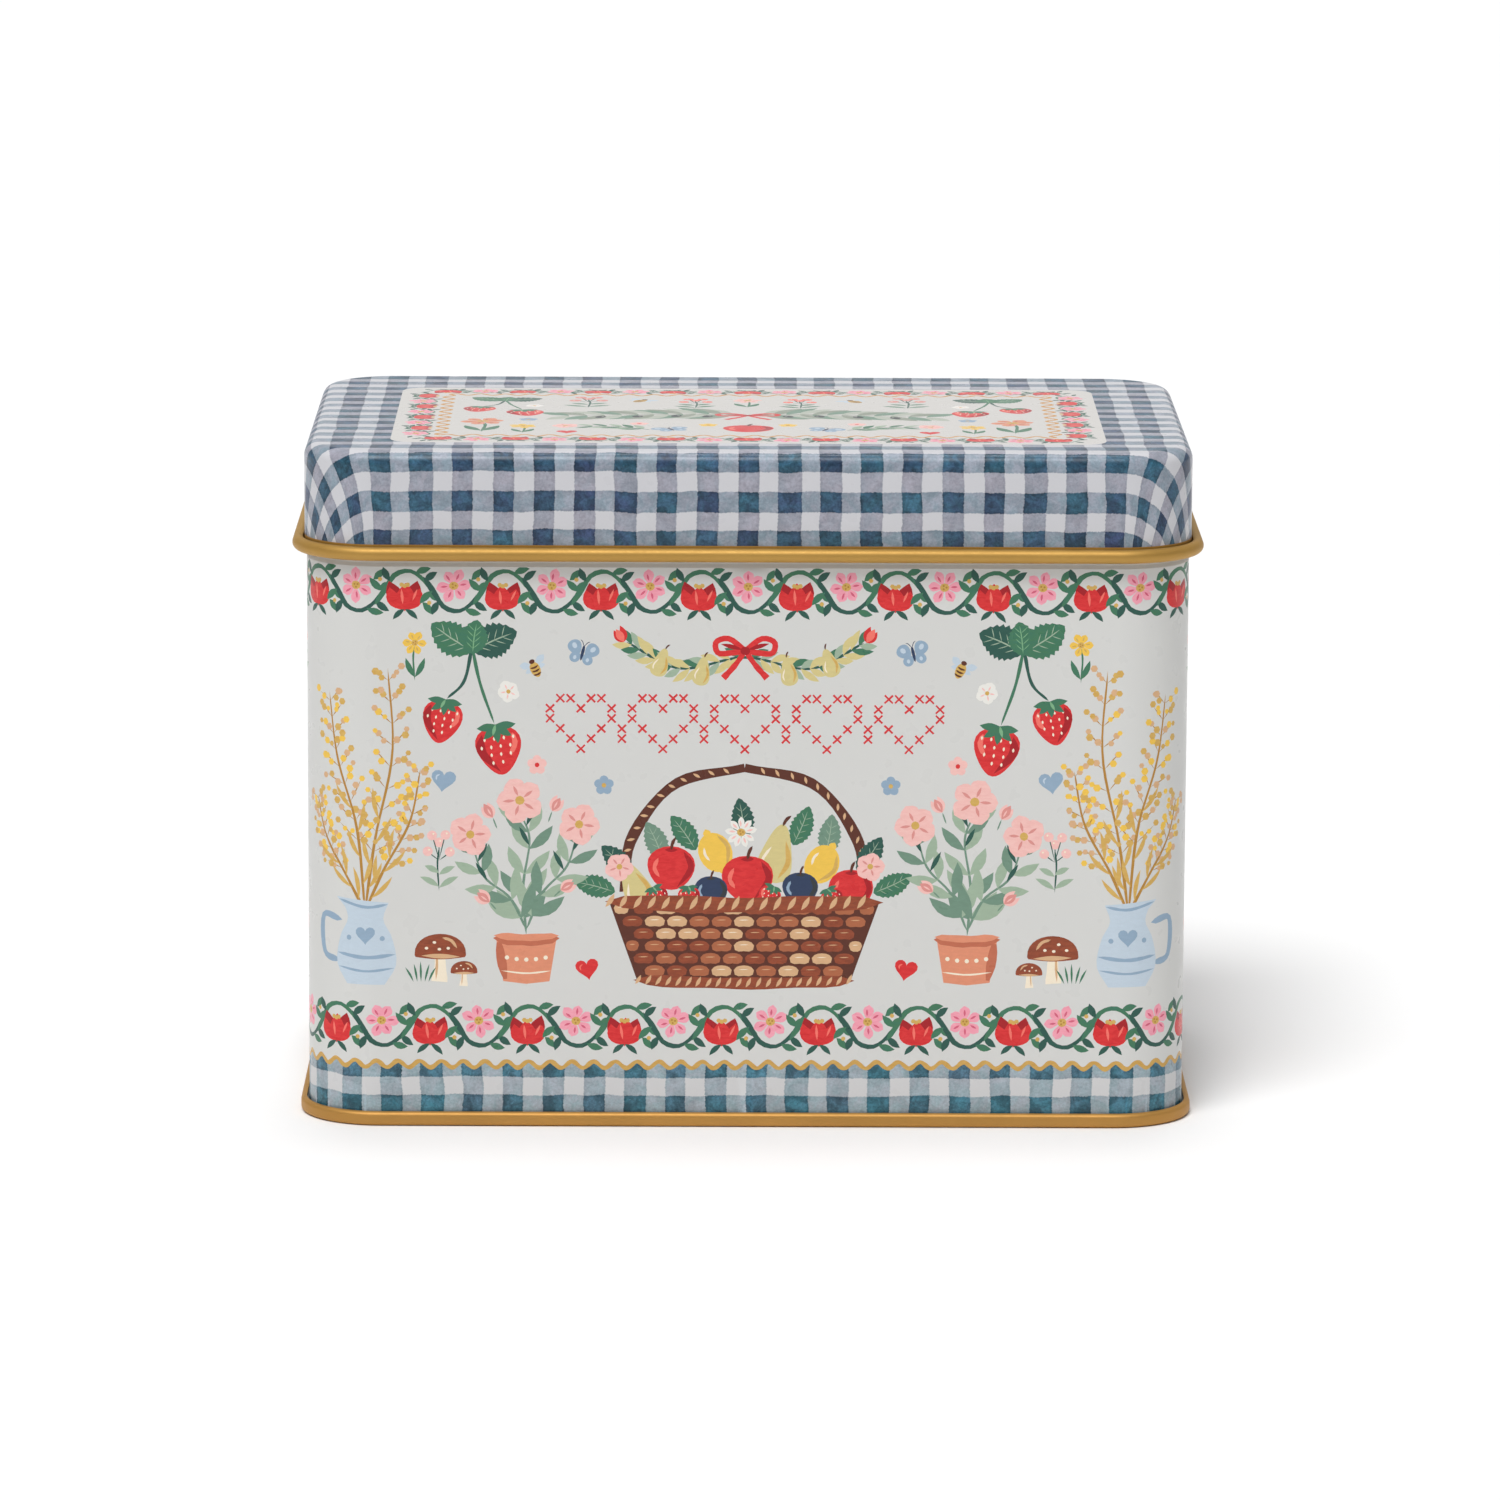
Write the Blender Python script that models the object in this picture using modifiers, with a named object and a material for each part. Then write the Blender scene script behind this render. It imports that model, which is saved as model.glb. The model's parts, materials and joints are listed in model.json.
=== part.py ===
"""Hinged tinplate recipe card box, with its dividers and cards.

Units are metres, +Z is up. The origin is at the middle of the footprint, on
the surface that the box stands on. The front of the box faces -Y.

All the sheet-metal pieces are wrapped round one family of rounded rectangles
that share their corner centres. A profile point is therefore written as
(o, z): o is the distance outside the lid's skirt, z the height.
"""
import bpy
import bmesh
from math import sin, cos, tan, pi, radians
from mathutils import Matrix, Vector

MM = 0.001

# ---------------------------------------------------------------- dimensions
LID_WIDTH = 165.0 * MM          # across the lid's skirt, X
LID_DEPTH = 102.0 * MM          # across the lid's skirt, Y
CORNER_RADIUS = 14.0 * MM       # vertical corners, at the lid's skirt
CORNER_SEGMENTS = 8
SHEET = 0.30 * MM               # tinplate thickness

# lid
LID_TOP_Z = 127.0 * MM
LID_EDGE_RADIUS = 2.6 * MM      # between the top and the skirt
BEAD_Z = 108.1 * MM             # middle of the curled bead
BEAD_BORE_RADIUS = 1.0 * MM     # inside of the curl
BEAD_END_ANGLE = 120.0          # where the curl ends, degrees

# body wall
WALL_O = -0.4 * MM              # outer face of the wall
NECK_O = -0.8 * MM              # outer face of the neck, inside the lid
SHOULDER_LOW_Z = 105.5 * MM
SHOULDER_HIGH_Z = 106.3 * MM
NECK_TOP_Z = 115.6 * MM
HEM_RADIUS = 0.8 * MM           # safety curl along the top edge
HEM_END_ANGLE = 235.0
FLANGE_Z = 1.45 * MM            # top of the flange at the foot
FLANGE_O = 0.5 * MM
SEAM_HALF_WIDTH = 2.5 * MM      # side seam, at the middle of the back
SEAM_DEPTH = 0.30 * MM

# base panel
PANEL_Z = 2.7 * MM              # underside of the recessed panel
CHUCK_O = -1.3 * MM             # inner face of the wall that carries it
RIM_O = 1.2 * MM                # outer face of the clinched rim
RIM_TOP_Z = 2.6 * MM
RIM_END_O = 0.1 * MM

# hinge
HINGE_X = 45.0 * MM             # straps sit at plus and minus this
PIN_RADIUS = 0.6 * MM
PIN_LENGTH = 30.0 * MM
STRAP_WIDTH = 14.0 * MM
STRAP_RADIUS = 1.0 * MM         # middle of the strap's curl
STRAP_FOOT_Z = 96.0 * MM
STRAP_END_ANGLE = -112.0
NOTCH_WIDTH = 15.2 * MM
NOTCH_TOP_Z = 109.9 * MM
LID_MAX_OPEN = 110.0            # degrees

# cards and dividers
CARD_WIDTH = 152.4 * MM
CARD_HEIGHT = 101.6 * MM
CARD_THICKNESS = 0.35 * MM
CARD_CORNER = 3.0 * MM
DIVIDER_HEIGHT = 114.3 * MM     # to the top of its tab
DIVIDER_THICKNESS = 0.50 * MM
TAB_WIDTH = 33.0 * MM
TAB_CORNER = 3.5 * MM
TAB_PLACES = (-54.0 * MM, -18.0 * MM, 18.0 * MM, 54.0 * MM)
SHEET_GAP = 0.35 * MM           # air between neighbours in the pack
DIVIDER_COUNT = 8
CARDS_PER_DIVIDER = 2
PACK_LEAN = 8.0                 # degrees, tops towards the back
PACK_REAR_Y = 32.7 * MM         # foot of the rearmost card's back face
PACK_FOOT_Z = 3.35 * MM

FLAT_X = LID_WIDTH / 2 - CORNER_RADIUS      # corner centres
FLAT_Y = LID_DEPTH / 2 - CORNER_RADIUS
HINGE_Y = LID_DEPTH / 2 + BEAD_BORE_RADIUS  # axis of the hinge
HINGE_Z = BEAD_Z


# ------------------------------------------------------------------- helpers
def clear_scene():
    for obj in list(bpy.data.objects):
        bpy.data.objects.remove(obj, do_unlink=True)


def new_collection(name):
    coll = bpy.data.collections.get(name) or bpy.data.collections.new(name)
    if coll.name not in bpy.context.scene.collection.children:
        bpy.context.scene.collection.children.link(coll)
    return coll


def principled(name, colour, roughness, metallic):
    mat = bpy.data.materials.new(name)
    mat.use_nodes = True
    shader = mat.node_tree.nodes["Principled BSDF"]
    shader.inputs["Base Color"].default_value = (*colour, 1.0)
    shader.inputs["Roughness"].default_value = roughness
    shader.inputs["Metallic"].default_value = metallic
    mat.diffuse_color = (*colour, 1.0)
    return mat


def add_object(name, bm, coll, material, smooth_angle=None):
    mesh = bpy.data.meshes.new(name)
    bm.to_mesh(mesh)
    bm.free()
    obj = bpy.data.objects.new(name, mesh)
    coll.objects.link(obj)
    if material is not None:
        mesh.materials.append(material)
    if smooth_angle is not None:
        mesh.shade_smooth()
        mesh.set_sharp_from_angle(angle=radians(smooth_angle))
    return obj


def rounded_outline(o, seam=0.0):
    """Points of the rounded rectangle at offset o, counter-clockwise from
    the middle of the back. seam pulls the side seam's band inwards."""
    r = CORNER_RADIUS + o
    rear = FLAT_Y + r
    # three points on each side of the middle make the seam's shallow groove
    band = [(x, rear - d) for x, d in (
        (0.0, seam), (-SEAM_HALF_WIDTH, seam),
        (-SEAM_HALF_WIDTH - 0.6 * MM, 0.0))]
    points = list(band)
    for cx, cy, start in ((-FLAT_X, FLAT_Y, 90), (-FLAT_X, -FLAT_Y, 180),
                          (FLAT_X, -FLAT_Y, 270), (FLAT_X, FLAT_Y, 0)):
        for i in range(CORNER_SEGMENTS + 1):
            a = radians(start + 90.0 * i / CORNER_SEGMENTS)
            points.append((cx + r * cos(a), cy + r * sin(a)))
    points += [(-x, y) for x, y in reversed(band[1:])]
    return points


def arc(co, cz, radius, a0, a1, steps):
    """Profile points on a circle about (co, cz), both ends included."""
    return [(co + radius * cos(radians(a0 + (a1 - a0) * i / steps)),
             cz + radius * sin(radians(a0 + (a1 - a0) * i / steps)))
            for i in range(steps + 1)]


def wrapped_sheet(profile, closed_start=False, seam=None):
    """Wraps a profile of (o, z) points round the box as an open surface, by
    extruding one rounded ring from point to point. closed_start fills the
    first ring, for the flat of a lid or base. seam gives the depth of the
    side seam at a height."""
    bm = bmesh.new()

    def depth(z):
        return seam(z) if seam else 0.0

    o, z = profile[0]
    ring = [bm.verts.new((x, y, z)) for x, y in rounded_outline(o, depth(z))]
    edges = [bm.edges.new((ring[i], ring[(i + 1) % len(ring)]))
             for i in range(len(ring))]
    order = ring
    if closed_start:
        bmesh.ops.contextual_create(bm, geom=edges)
    for o, z in profile[1:]:
        before = order
        result = bmesh.ops.extrude_edge_only(bm, edges=edges)
        new_verts = {v for v in result["geom"]
                     if isinstance(v, bmesh.types.BMVert)}
        edges = [e for e in result["geom"]
                 if isinstance(e, bmesh.types.BMEdge)
                 and e.verts[0] in new_verts and e.verts[1] in new_verts]
        # each new vert is joined to exactly one vert of the ring before it
        order = []
        for v in before:
            order.append(next(e.other_vert(v) for e in v.link_edges
                              if e.other_vert(v) in new_verts))
        for v, (x, y) in zip(order, rounded_outline(o, depth(z))):
            v.co = (x, y, z)
    return bm


def face_outwards(bm, point, direction):
    """Turns the whole open surface so that the face nearest to point looks
    along direction."""
    bmesh.ops.recalc_face_normals(bm, faces=bm.faces)
    bm.normal_update()
    nearest = min(bm.faces, key=lambda f:
                  (f.calc_center_median() - Vector(point)).length)
    if nearest.normal.dot(Vector(direction)) < 0:
        bmesh.ops.reverse_faces(bm, faces=bm.faces)


def solidify(obj, thickness, offset):
    mod = obj.modifiers.new("Sheet", "SOLIDIFY")
    mod.thickness = thickness
    mod.offset = offset
    mod.use_even_offset = True
    return mod


def cutter_box(name, coll, low, high):
    bm = bmesh.new()
    bmesh.ops.create_cube(bm, size=1.0)
    size = Vector(high) - Vector(low)
    bmesh.ops.scale(bm, vec=size, verts=bm.verts)
    bmesh.ops.translate(bm, vec=(Vector(high) + Vector(low)) / 2,
                        verts=bm.verts)
    obj = add_object(name, bm, coll, None)
    obj.hide_render = True
    obj.display_type = "WIRE"
    return obj


def cut(obj, cutter):
    mod = obj.modifiers.new(cutter.name, "BOOLEAN")
    mod.operation = "DIFFERENCE"
    mod.solver = "EXACT"
    mod.object = cutter


# --------------------------------------------------------------------- build
clear_scene()
box = new_collection("recipe_card_box")
cutters = new_collection("recipe_card_box_cutters")

printed_tin = principled("printed_tinplate", (0.78, 0.78, 0.76), 0.38, 0.0)
gingham_tin = principled("gingham_tinplate", (0.42, 0.50, 0.56), 0.38, 0.0)
gold_tin = principled("gold_lacquered_tinplate", (0.55, 0.31, 0.07), 0.35, 0.6)
bare_steel = principled("bare_steel", (0.55, 0.55, 0.54), 0.30, 1.0)
card_stock = principled("card_stock", (0.80, 0.78, 0.73), 0.75, 0.0)
divider_board = principled("divider_board", (0.62, 0.70, 0.74), 0.70, 0.0)

# Body wall: safety curl at the top, neck, shoulder, wall, flange at the foot.
# The surface drawn is the outer face of the sheet.
hem_o = NECK_O - HEM_RADIUS
wall_profile = arc(hem_o, NECK_TOP_Z - HEM_RADIUS, HEM_RADIUS,
                   HEM_END_ANGLE, 0.0, 9)
wall_profile += [
    (NECK_O, SHOULDER_HIGH_Z),
    (WALL_O, SHOULDER_LOW_Z),
    (WALL_O, FLANGE_Z + 0.45 * MM),
    (WALL_O + 0.12 * MM, FLANGE_Z + 0.12 * MM),
    (WALL_O + 0.45 * MM, FLANGE_Z),
    (FLANGE_O, FLANGE_Z),
]


def seam_depth(z):
    return SEAM_DEPTH if z < NECK_TOP_Z else 0.0


bm = wrapped_sheet(wall_profile, seam=seam_depth)
face_outwards(bm, (0, -(FLAT_Y + CORNER_RADIUS), 60 * MM), (0, -1, 0))
body_wall = add_object("body_wall", bm, box, printed_tin, 40)
solidify(body_wall, SHEET, -1.0)

# Base panel: recessed panel, chuck wall, seat, rim clinched over the flange.
# The surface drawn is the lower, outer face of the sheet.
base_profile = [
    (CHUCK_O - 0.5 * MM, PANEL_Z),
    (CHUCK_O - 0.15 * MM, PANEL_Z - 0.15 * MM),
    (CHUCK_O, PANEL_Z - 0.5 * MM),
    (CHUCK_O, 0.4 * MM),
    (CHUCK_O + 0.12 * MM, 0.12 * MM),
    (CHUCK_O + 0.4 * MM, 0.0),
]
base_profile += arc(RIM_O - 0.8 * MM, 0.8 * MM, 0.8 * MM, -90, 0, 4)
base_profile += arc(RIM_O - 0.8 * MM, RIM_TOP_Z - 0.8 * MM, 0.8 * MM, 0, 90, 4)
base_profile += [(RIM_END_O, RIM_TOP_Z)]
bm = wrapped_sheet(base_profile, closed_start=True)
face_outwards(bm, (0, 0, PANEL_Z), (0, 0, -1))
base_panel = add_object("base_panel", bm, box, gold_tin, 40)
solidify(base_panel, SHEET, -1.0)

# Hinge axis: the lid, its pins and its notches hang on this empty.
hinge = bpy.data.objects.new("hinge_axis", None)
hinge.empty_display_size = 0.02
hinge.location = (0.0, HINGE_Y, HINGE_Z)
hinge.rotation_mode = "XYZ"
box.objects.link(hinge)
to_hinge = Matrix.Translation((0.0, HINGE_Y, HINGE_Z)).inverted()

# Lid shell: flat top, rounded edge, skirt, and the bead curled outwards.
# The surface drawn is the outer face, which is the inside of the curl.
lid_profile = arc(-LID_EDGE_RADIUS, LID_TOP_Z - LID_EDGE_RADIUS,
                  LID_EDGE_RADIUS, 90, 0, 5)
lid_profile += arc(BEAD_BORE_RADIUS, BEAD_Z, BEAD_BORE_RADIUS,
                   -180, BEAD_END_ANGLE, 12)
bm = wrapped_sheet(lid_profile, closed_start=True)
face_outwards(bm, (0, 0, LID_TOP_Z), (0, 0, 1))
bmesh.ops.transform(bm, matrix=to_hinge, verts=bm.verts)
lid_shell = add_object("lid_shell", bm, box, gingham_tin, 40)
lid_shell.parent = hinge
solidify(lid_shell, SHEET, -1.0)

for side, sign in (("left", -1), ("right", 1)):
    x = sign * HINGE_X
    notch = cutter_box(
        "notch_" + side, cutters,
        (x - NOTCH_WIDTH / 2, -3.0 * MM, -4.0 * MM),
        (x + NOTCH_WIDTH / 2, 4.0 * MM, NOTCH_TOP_Z - HINGE_Z))
    notch.parent = hinge
    cut(lid_shell, notch)

    # Hinge pin: a straight wire lying in the bead.
    bm = bmesh.new()
    bmesh.ops.create_cone(bm, cap_ends=True, segments=16, radius1=PIN_RADIUS,
                          radius2=PIN_RADIUS, depth=PIN_LENGTH)
    bmesh.ops.rotate(bm, cent=(0, 0, 0), verts=bm.verts,
                     matrix=Matrix.Rotation(pi / 2, 3, "Y"))
    pin = add_object("hinge_pin_" + side, bm, box, bare_steel, 40)
    pin.location = (x, 0.0, 0.0)
    pin.parent = hinge

    # Hinge strap: lies on the wall, then curls over, round the pin.
    line = [(HINGE_Y - STRAP_RADIUS, STRAP_FOOT_Z)]
    line += arc(HINGE_Y, HINGE_Z, STRAP_RADIUS, 180, STRAP_END_ANGLE, 14)
    bm = bmesh.new()
    verts = [bm.verts.new((-STRAP_WIDTH / 2, y, z)) for y, z in line]
    chain = [bm.edges.new(pair) for pair in zip(verts, verts[1:])]
    grown = bmesh.ops.extrude_edge_only(bm, edges=chain)
    bmesh.ops.translate(bm, vec=(STRAP_WIDTH, 0, 0),
                        verts=[v for v in grown["geom"]
                               if isinstance(v, bmesh.types.BMVert)])
    face_outwards(bm, (0, HINGE_Y, STRAP_FOOT_Z + 5 * MM), (0, -1, 0))
    strap = add_object("hinge_strap_" + side, bm, box, gold_tin, 40)
    strap.location = (x, 0.0, 0.0)
    solidify(strap, SHEET, 0.0)


# Cards and dividers: flat outlines that stand on the base and lean back.
def corner_points(cx, cz, radius, start, steps=4):
    return [(cx + radius * cos(radians(start + 90.0 * i / steps)),
             cz + radius * sin(radians(start + 90.0 * i / steps)))
            for i in range(steps + 1)]


def card_outline():
    hw, h, r = CARD_WIDTH / 2, CARD_HEIGHT, CARD_CORNER
    return (corner_points(-hw + r, r, r, 180) + corner_points(hw - r, r, r, 270)
            + corner_points(hw - r, h - r, r, 0)
            + corner_points(-hw + r, h - r, r, 90))


def divider_outline(tab_x):
    hw, h, r = CARD_WIDTH / 2, CARD_HEIGHT, CARD_CORNER
    top, t, tw = DIVIDER_HEIGHT, TAB_CORNER, TAB_WIDTH / 2
    points = corner_points(-hw + r, r, r, 180) + corner_points(hw - r, r, r, 270)
    points += corner_points(hw - r, h - r, r, 0)
    points += [(tab_x + tw, h)]
    points += corner_points(tab_x + tw - t, top - t, t, 0)
    points += corner_points(tab_x - tw + t, top - t, t, 90)
    points += [(tab_x - tw, h)]
    points += corner_points(-hw + r, h - r, r, 90)
    return points


def flat_sheet(name, points, thickness, distance, material):
    """A flat sheet whose back face is at distance in front of the rearmost
    card's back face, measured square to the pack."""
    bm = bmesh.new()
    face = bm.faces.new([bm.verts.new((x, 0.0, z)) for x, z in points])
    face.normal_update()
    if face.normal.y > 0:
        face.normal_flip()
    obj = add_object(name, bm, box, material)
    lean = radians(PACK_LEAN)
    obj.location = (0.0, PACK_REAR_Y - distance / cos(lean), PACK_FOOT_Z)
    obj.rotation_euler = (-lean, 0.0, 0.0)
    solidify(obj, thickness, 1.0)
    return obj


distance = 0.0
card_number = DIVIDER_COUNT * CARDS_PER_DIVIDER
for number in range(DIVIDER_COUNT, 0, -1):
    for _ in range(CARDS_PER_DIVIDER):
        flat_sheet("recipe_card_%02d" % card_number, card_outline(),
                   CARD_THICKNESS, distance, card_stock)
        distance += CARD_THICKNESS + SHEET_GAP
        card_number -= 1
    place = TAB_PLACES[(number - 1) % len(TAB_PLACES)]
    flat_sheet("divider_%d" % number, divider_outline(place),
               DIVIDER_THICKNESS, distance, divider_board)
    distance += DIVIDER_THICKNESS + SHEET_GAP
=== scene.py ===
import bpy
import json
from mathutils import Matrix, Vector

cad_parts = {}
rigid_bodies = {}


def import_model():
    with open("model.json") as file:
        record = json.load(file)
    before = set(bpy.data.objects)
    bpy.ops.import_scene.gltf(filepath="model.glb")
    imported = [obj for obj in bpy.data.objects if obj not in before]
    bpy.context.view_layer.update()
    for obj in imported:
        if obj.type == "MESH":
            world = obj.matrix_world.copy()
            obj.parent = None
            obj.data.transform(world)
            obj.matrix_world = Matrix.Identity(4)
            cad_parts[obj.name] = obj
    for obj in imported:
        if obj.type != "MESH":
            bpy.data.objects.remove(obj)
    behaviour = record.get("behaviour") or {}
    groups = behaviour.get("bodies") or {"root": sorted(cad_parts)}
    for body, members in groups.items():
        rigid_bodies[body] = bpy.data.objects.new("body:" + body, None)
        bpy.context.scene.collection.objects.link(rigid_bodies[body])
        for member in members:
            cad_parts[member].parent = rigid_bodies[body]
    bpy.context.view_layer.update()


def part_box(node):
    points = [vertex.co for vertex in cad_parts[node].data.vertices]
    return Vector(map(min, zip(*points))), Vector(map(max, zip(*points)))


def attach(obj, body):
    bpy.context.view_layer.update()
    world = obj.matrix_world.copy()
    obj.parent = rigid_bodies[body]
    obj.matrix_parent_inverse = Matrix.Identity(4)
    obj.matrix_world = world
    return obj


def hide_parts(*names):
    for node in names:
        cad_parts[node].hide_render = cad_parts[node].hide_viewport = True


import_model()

import bpy
import bmesh
import json
import math
import numpy as np
from math import sin, cos, pi, radians, sqrt, floor
from mathutils import Vector, Matrix, geometry

# Lengths in this file are millimetres until they become vertices.
MM = 0.001
FX, FY = 68.5, 37.0            # corner centres of every rounded rectangle
R0 = 14.0                      # corner radius at the lid's skirt
SHEET = 0.30
LID_TOP = 1000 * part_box("lid_shell")[1].z
LID_EDGE = 2.6
BEAD_Z = 108.1
WALL_O, NECK_O = -0.4, -0.8
SHOULDER_LOW, SHOULDER_HIGH, NECK_TOP = 105.5, 106.3, 115.6
CORNER_STEPS = 16
WALL_R = R0 + WALL_O
CORNER_ARC = WALL_R * pi / 2
PERIMETER = 4 * FX + 4 * FY + 4 * CORNER_ARC      # along the wall's face
HALF = PERIMETER / 2
SIDE_MID = FX + CORNER_ARC + FY                   # middle of an end wall
HINGE_Y, HINGE_Z = 52.0, 108.1


# ===================================================================== stage
def camera():
    """The photograph's viewpoint."""
    pitch, yaw, roll = radians(10.6385), radians(-0.2947), radians(0.2724)
    fwd = Vector((0, cos(pitch), -sin(pitch)))
    right = Vector((1, 0, 0))
    turn = Matrix.Rotation(yaw, 3, "Z")
    fwd, right = turn @ fwd, turn @ right
    up = right.cross(fwd)
    r2 = cos(roll) * right + sin(roll) * up
    u2 = -sin(roll) * right + cos(roll) * up
    data = bpy.data.cameras.new("camera")
    data.lens = 8267.8 / 1500.0 * 36.0
    data.sensor_width = 36.0
    data.clip_start, data.clip_end = 0.05, 30.0
    obj = bpy.data.objects.new("camera", data)
    m = Matrix((r2, u2, -fwd)).transposed().to_4x4()
    m.translation = Vector((-7.29, -1556.19, 354.18)) * MM
    obj.matrix_world = m
    bpy.context.scene.collection.objects.link(obj)
    bpy.context.scene.camera = obj


# ================================================================= materials
def lin(r, g, b):
    """sRGB 0-255 to scene-linear."""
    def one(c):
        c /= 255.0
        return c / 12.92 if c <= 0.04045 else ((c + 0.055) / 1.055) ** 2.4
    return (one(r), one(g), one(b))


class Nodes:
    """Short hands for building one material's node tree."""

    def __init__(self, name, roughness=0.4, metallic=0.0, specular=0.5):
        self.mat = bpy.data.materials.new(name)
        self.mat.use_nodes = True
        self.nt = self.mat.node_tree
        self.out = self.nt.nodes["Material Output"]
        self.bsdf = self.nt.nodes["Principled BSDF"]
        self.bsdf.inputs["Roughness"].default_value = roughness
        self.bsdf.inputs["Metallic"].default_value = metallic
        self.bsdf.inputs["Specular IOR Level"].default_value = specular

    def put(self, socket, value):
        if isinstance(value, bpy.types.NodeSocket):
            self.nt.links.new(value, socket)
        elif isinstance(value, (tuple, list)) and len(value) == 3 \
                and socket.type == "RGBA":
            socket.default_value = (*value, 1.0)
        else:
            socket.default_value = value

    def math(self, op, a, b=None, c=None, clamp=False):
        n = self.nt.nodes.new("ShaderNodeMath")
        n.operation = op
        n.use_clamp = clamp
        for i, v in enumerate((a, b, c)):
            if v is not None:
                self.put(n.inputs[i], v)
        return n.outputs[0]

    def add(self, a, b): return self.math("ADD", a, b)
    def sub(self, a, b): return self.math("SUBTRACT", a, b)
    def mul(self, a, b): return self.math("MULTIPLY", a, b)

    def uv(self, name="sheet"):
        n = self.nt.nodes.new("ShaderNodeUVMap")
        n.uv_map = name
        s = self.nt.nodes.new("ShaderNodeSeparateXYZ")
        self.nt.links.new(n.outputs[0], s.inputs[0])
        # the sheet map holds decimetres, so 100 turns it into millimetres
        return self.mul(s.outputs[0], 100.0), self.mul(s.outputs[1], 100.0)

    def object_xyz(self):
        n = self.nt.nodes.new("ShaderNodeTexCoord")
        s = self.nt.nodes.new("ShaderNodeSeparateXYZ")
        self.nt.links.new(n.outputs["Object"], s.inputs[0])
        return [self.mul(s.outputs[i], 1000.0) for i in range(3)]

    def vec(self, x, y, z=0.0):
        n = self.nt.nodes.new("ShaderNodeCombineXYZ")
        for i, v in enumerate((x, y, z)):
            self.put(n.inputs[i], v)
        return n.outputs[0]

    def noise(self, vec, scale, detail=2.0, rough=0.5, distortion=0.0):
        n = self.nt.nodes.new("ShaderNodeTexNoise")
        n.noise_dimensions = "3D"
        self.put(n.inputs["Vector"], vec)
        n.inputs["Scale"].default_value = scale
        n.inputs["Detail"].default_value = detail
        n.inputs["Roughness"].default_value = rough
        n.inputs["Distortion"].default_value = distortion
        return n.outputs["Fac"]

    def white(self, x, y=0.0):
        n = self.nt.nodes.new("ShaderNodeTexWhiteNoise")
        n.noise_dimensions = "3D"
        self.put(n.inputs["Vector"], self.vec(x, y, 0.37))
        return n.outputs["Value"]

    def ramp(self, value, lo, hi, to_lo=0.0, to_hi=1.0, smooth=True):
        n = self.nt.nodes.new("ShaderNodeMapRange")
        n.interpolation_type = "SMOOTHSTEP" if smooth else "LINEAR"
        self.put(n.inputs[0], value)
        for i, v in enumerate((lo, hi, to_lo, to_hi)):
            self.put(n.inputs[i + 1], v)
        return n.outputs[0]

    def mix(self, fac, a, b, blend="MIX"):
        n = self.nt.nodes.new("ShaderNodeMix")
        n.data_type = "RGBA"
        n.blend_type = blend
        self.put(n.inputs[0], fac)
        self.put(n.inputs[6], a)
        self.put(n.inputs[7], b)
        return n.outputs[2]

    def scale_colour(self, colour, factor):
        """colour times a number or socket."""
        n = self.nt.nodes.new("ShaderNodeVectorMath")
        n.operation = "SCALE"
        self.put(n.inputs[0], colour)
        self.put(n.inputs["Scale"], factor)
        return n.outputs[0]

    def bump(self, height, strength, distance_mm):
        n = self.nt.nodes.new("ShaderNodeBump")
        n.inputs["Strength"].default_value = strength
        n.inputs["Distance"].default_value = distance_mm * MM
        self.put(n.inputs["Height"], height)
        self.nt.links.new(n.outputs[0], self.bsdf.inputs["Normal"])

    def colour(self, value):
        self.put(self.bsdf.inputs["Base Color"], value)

    def roughness(self, value):
        self.put(self.bsdf.inputs["Roughness"], value)


LACQUER_ROUGH = 0.30


def lacquer(n, u, v):
    """The satin varnish over all the print, and the long soft waves of thin
    sheet under it."""
    coords = n.vec(u, v)
    wave = n.noise(coords, 0.035, 1.0)
    n.bump(n.mul(wave, 0.30), 0.5, 1.0)
    n.roughness(n.ramp(n.noise(coords, 0.25, 2.0), 0.3, 0.7,
                       LACQUER_ROUGH - 0.03, LACQUER_ROUGH + 0.05))


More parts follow.
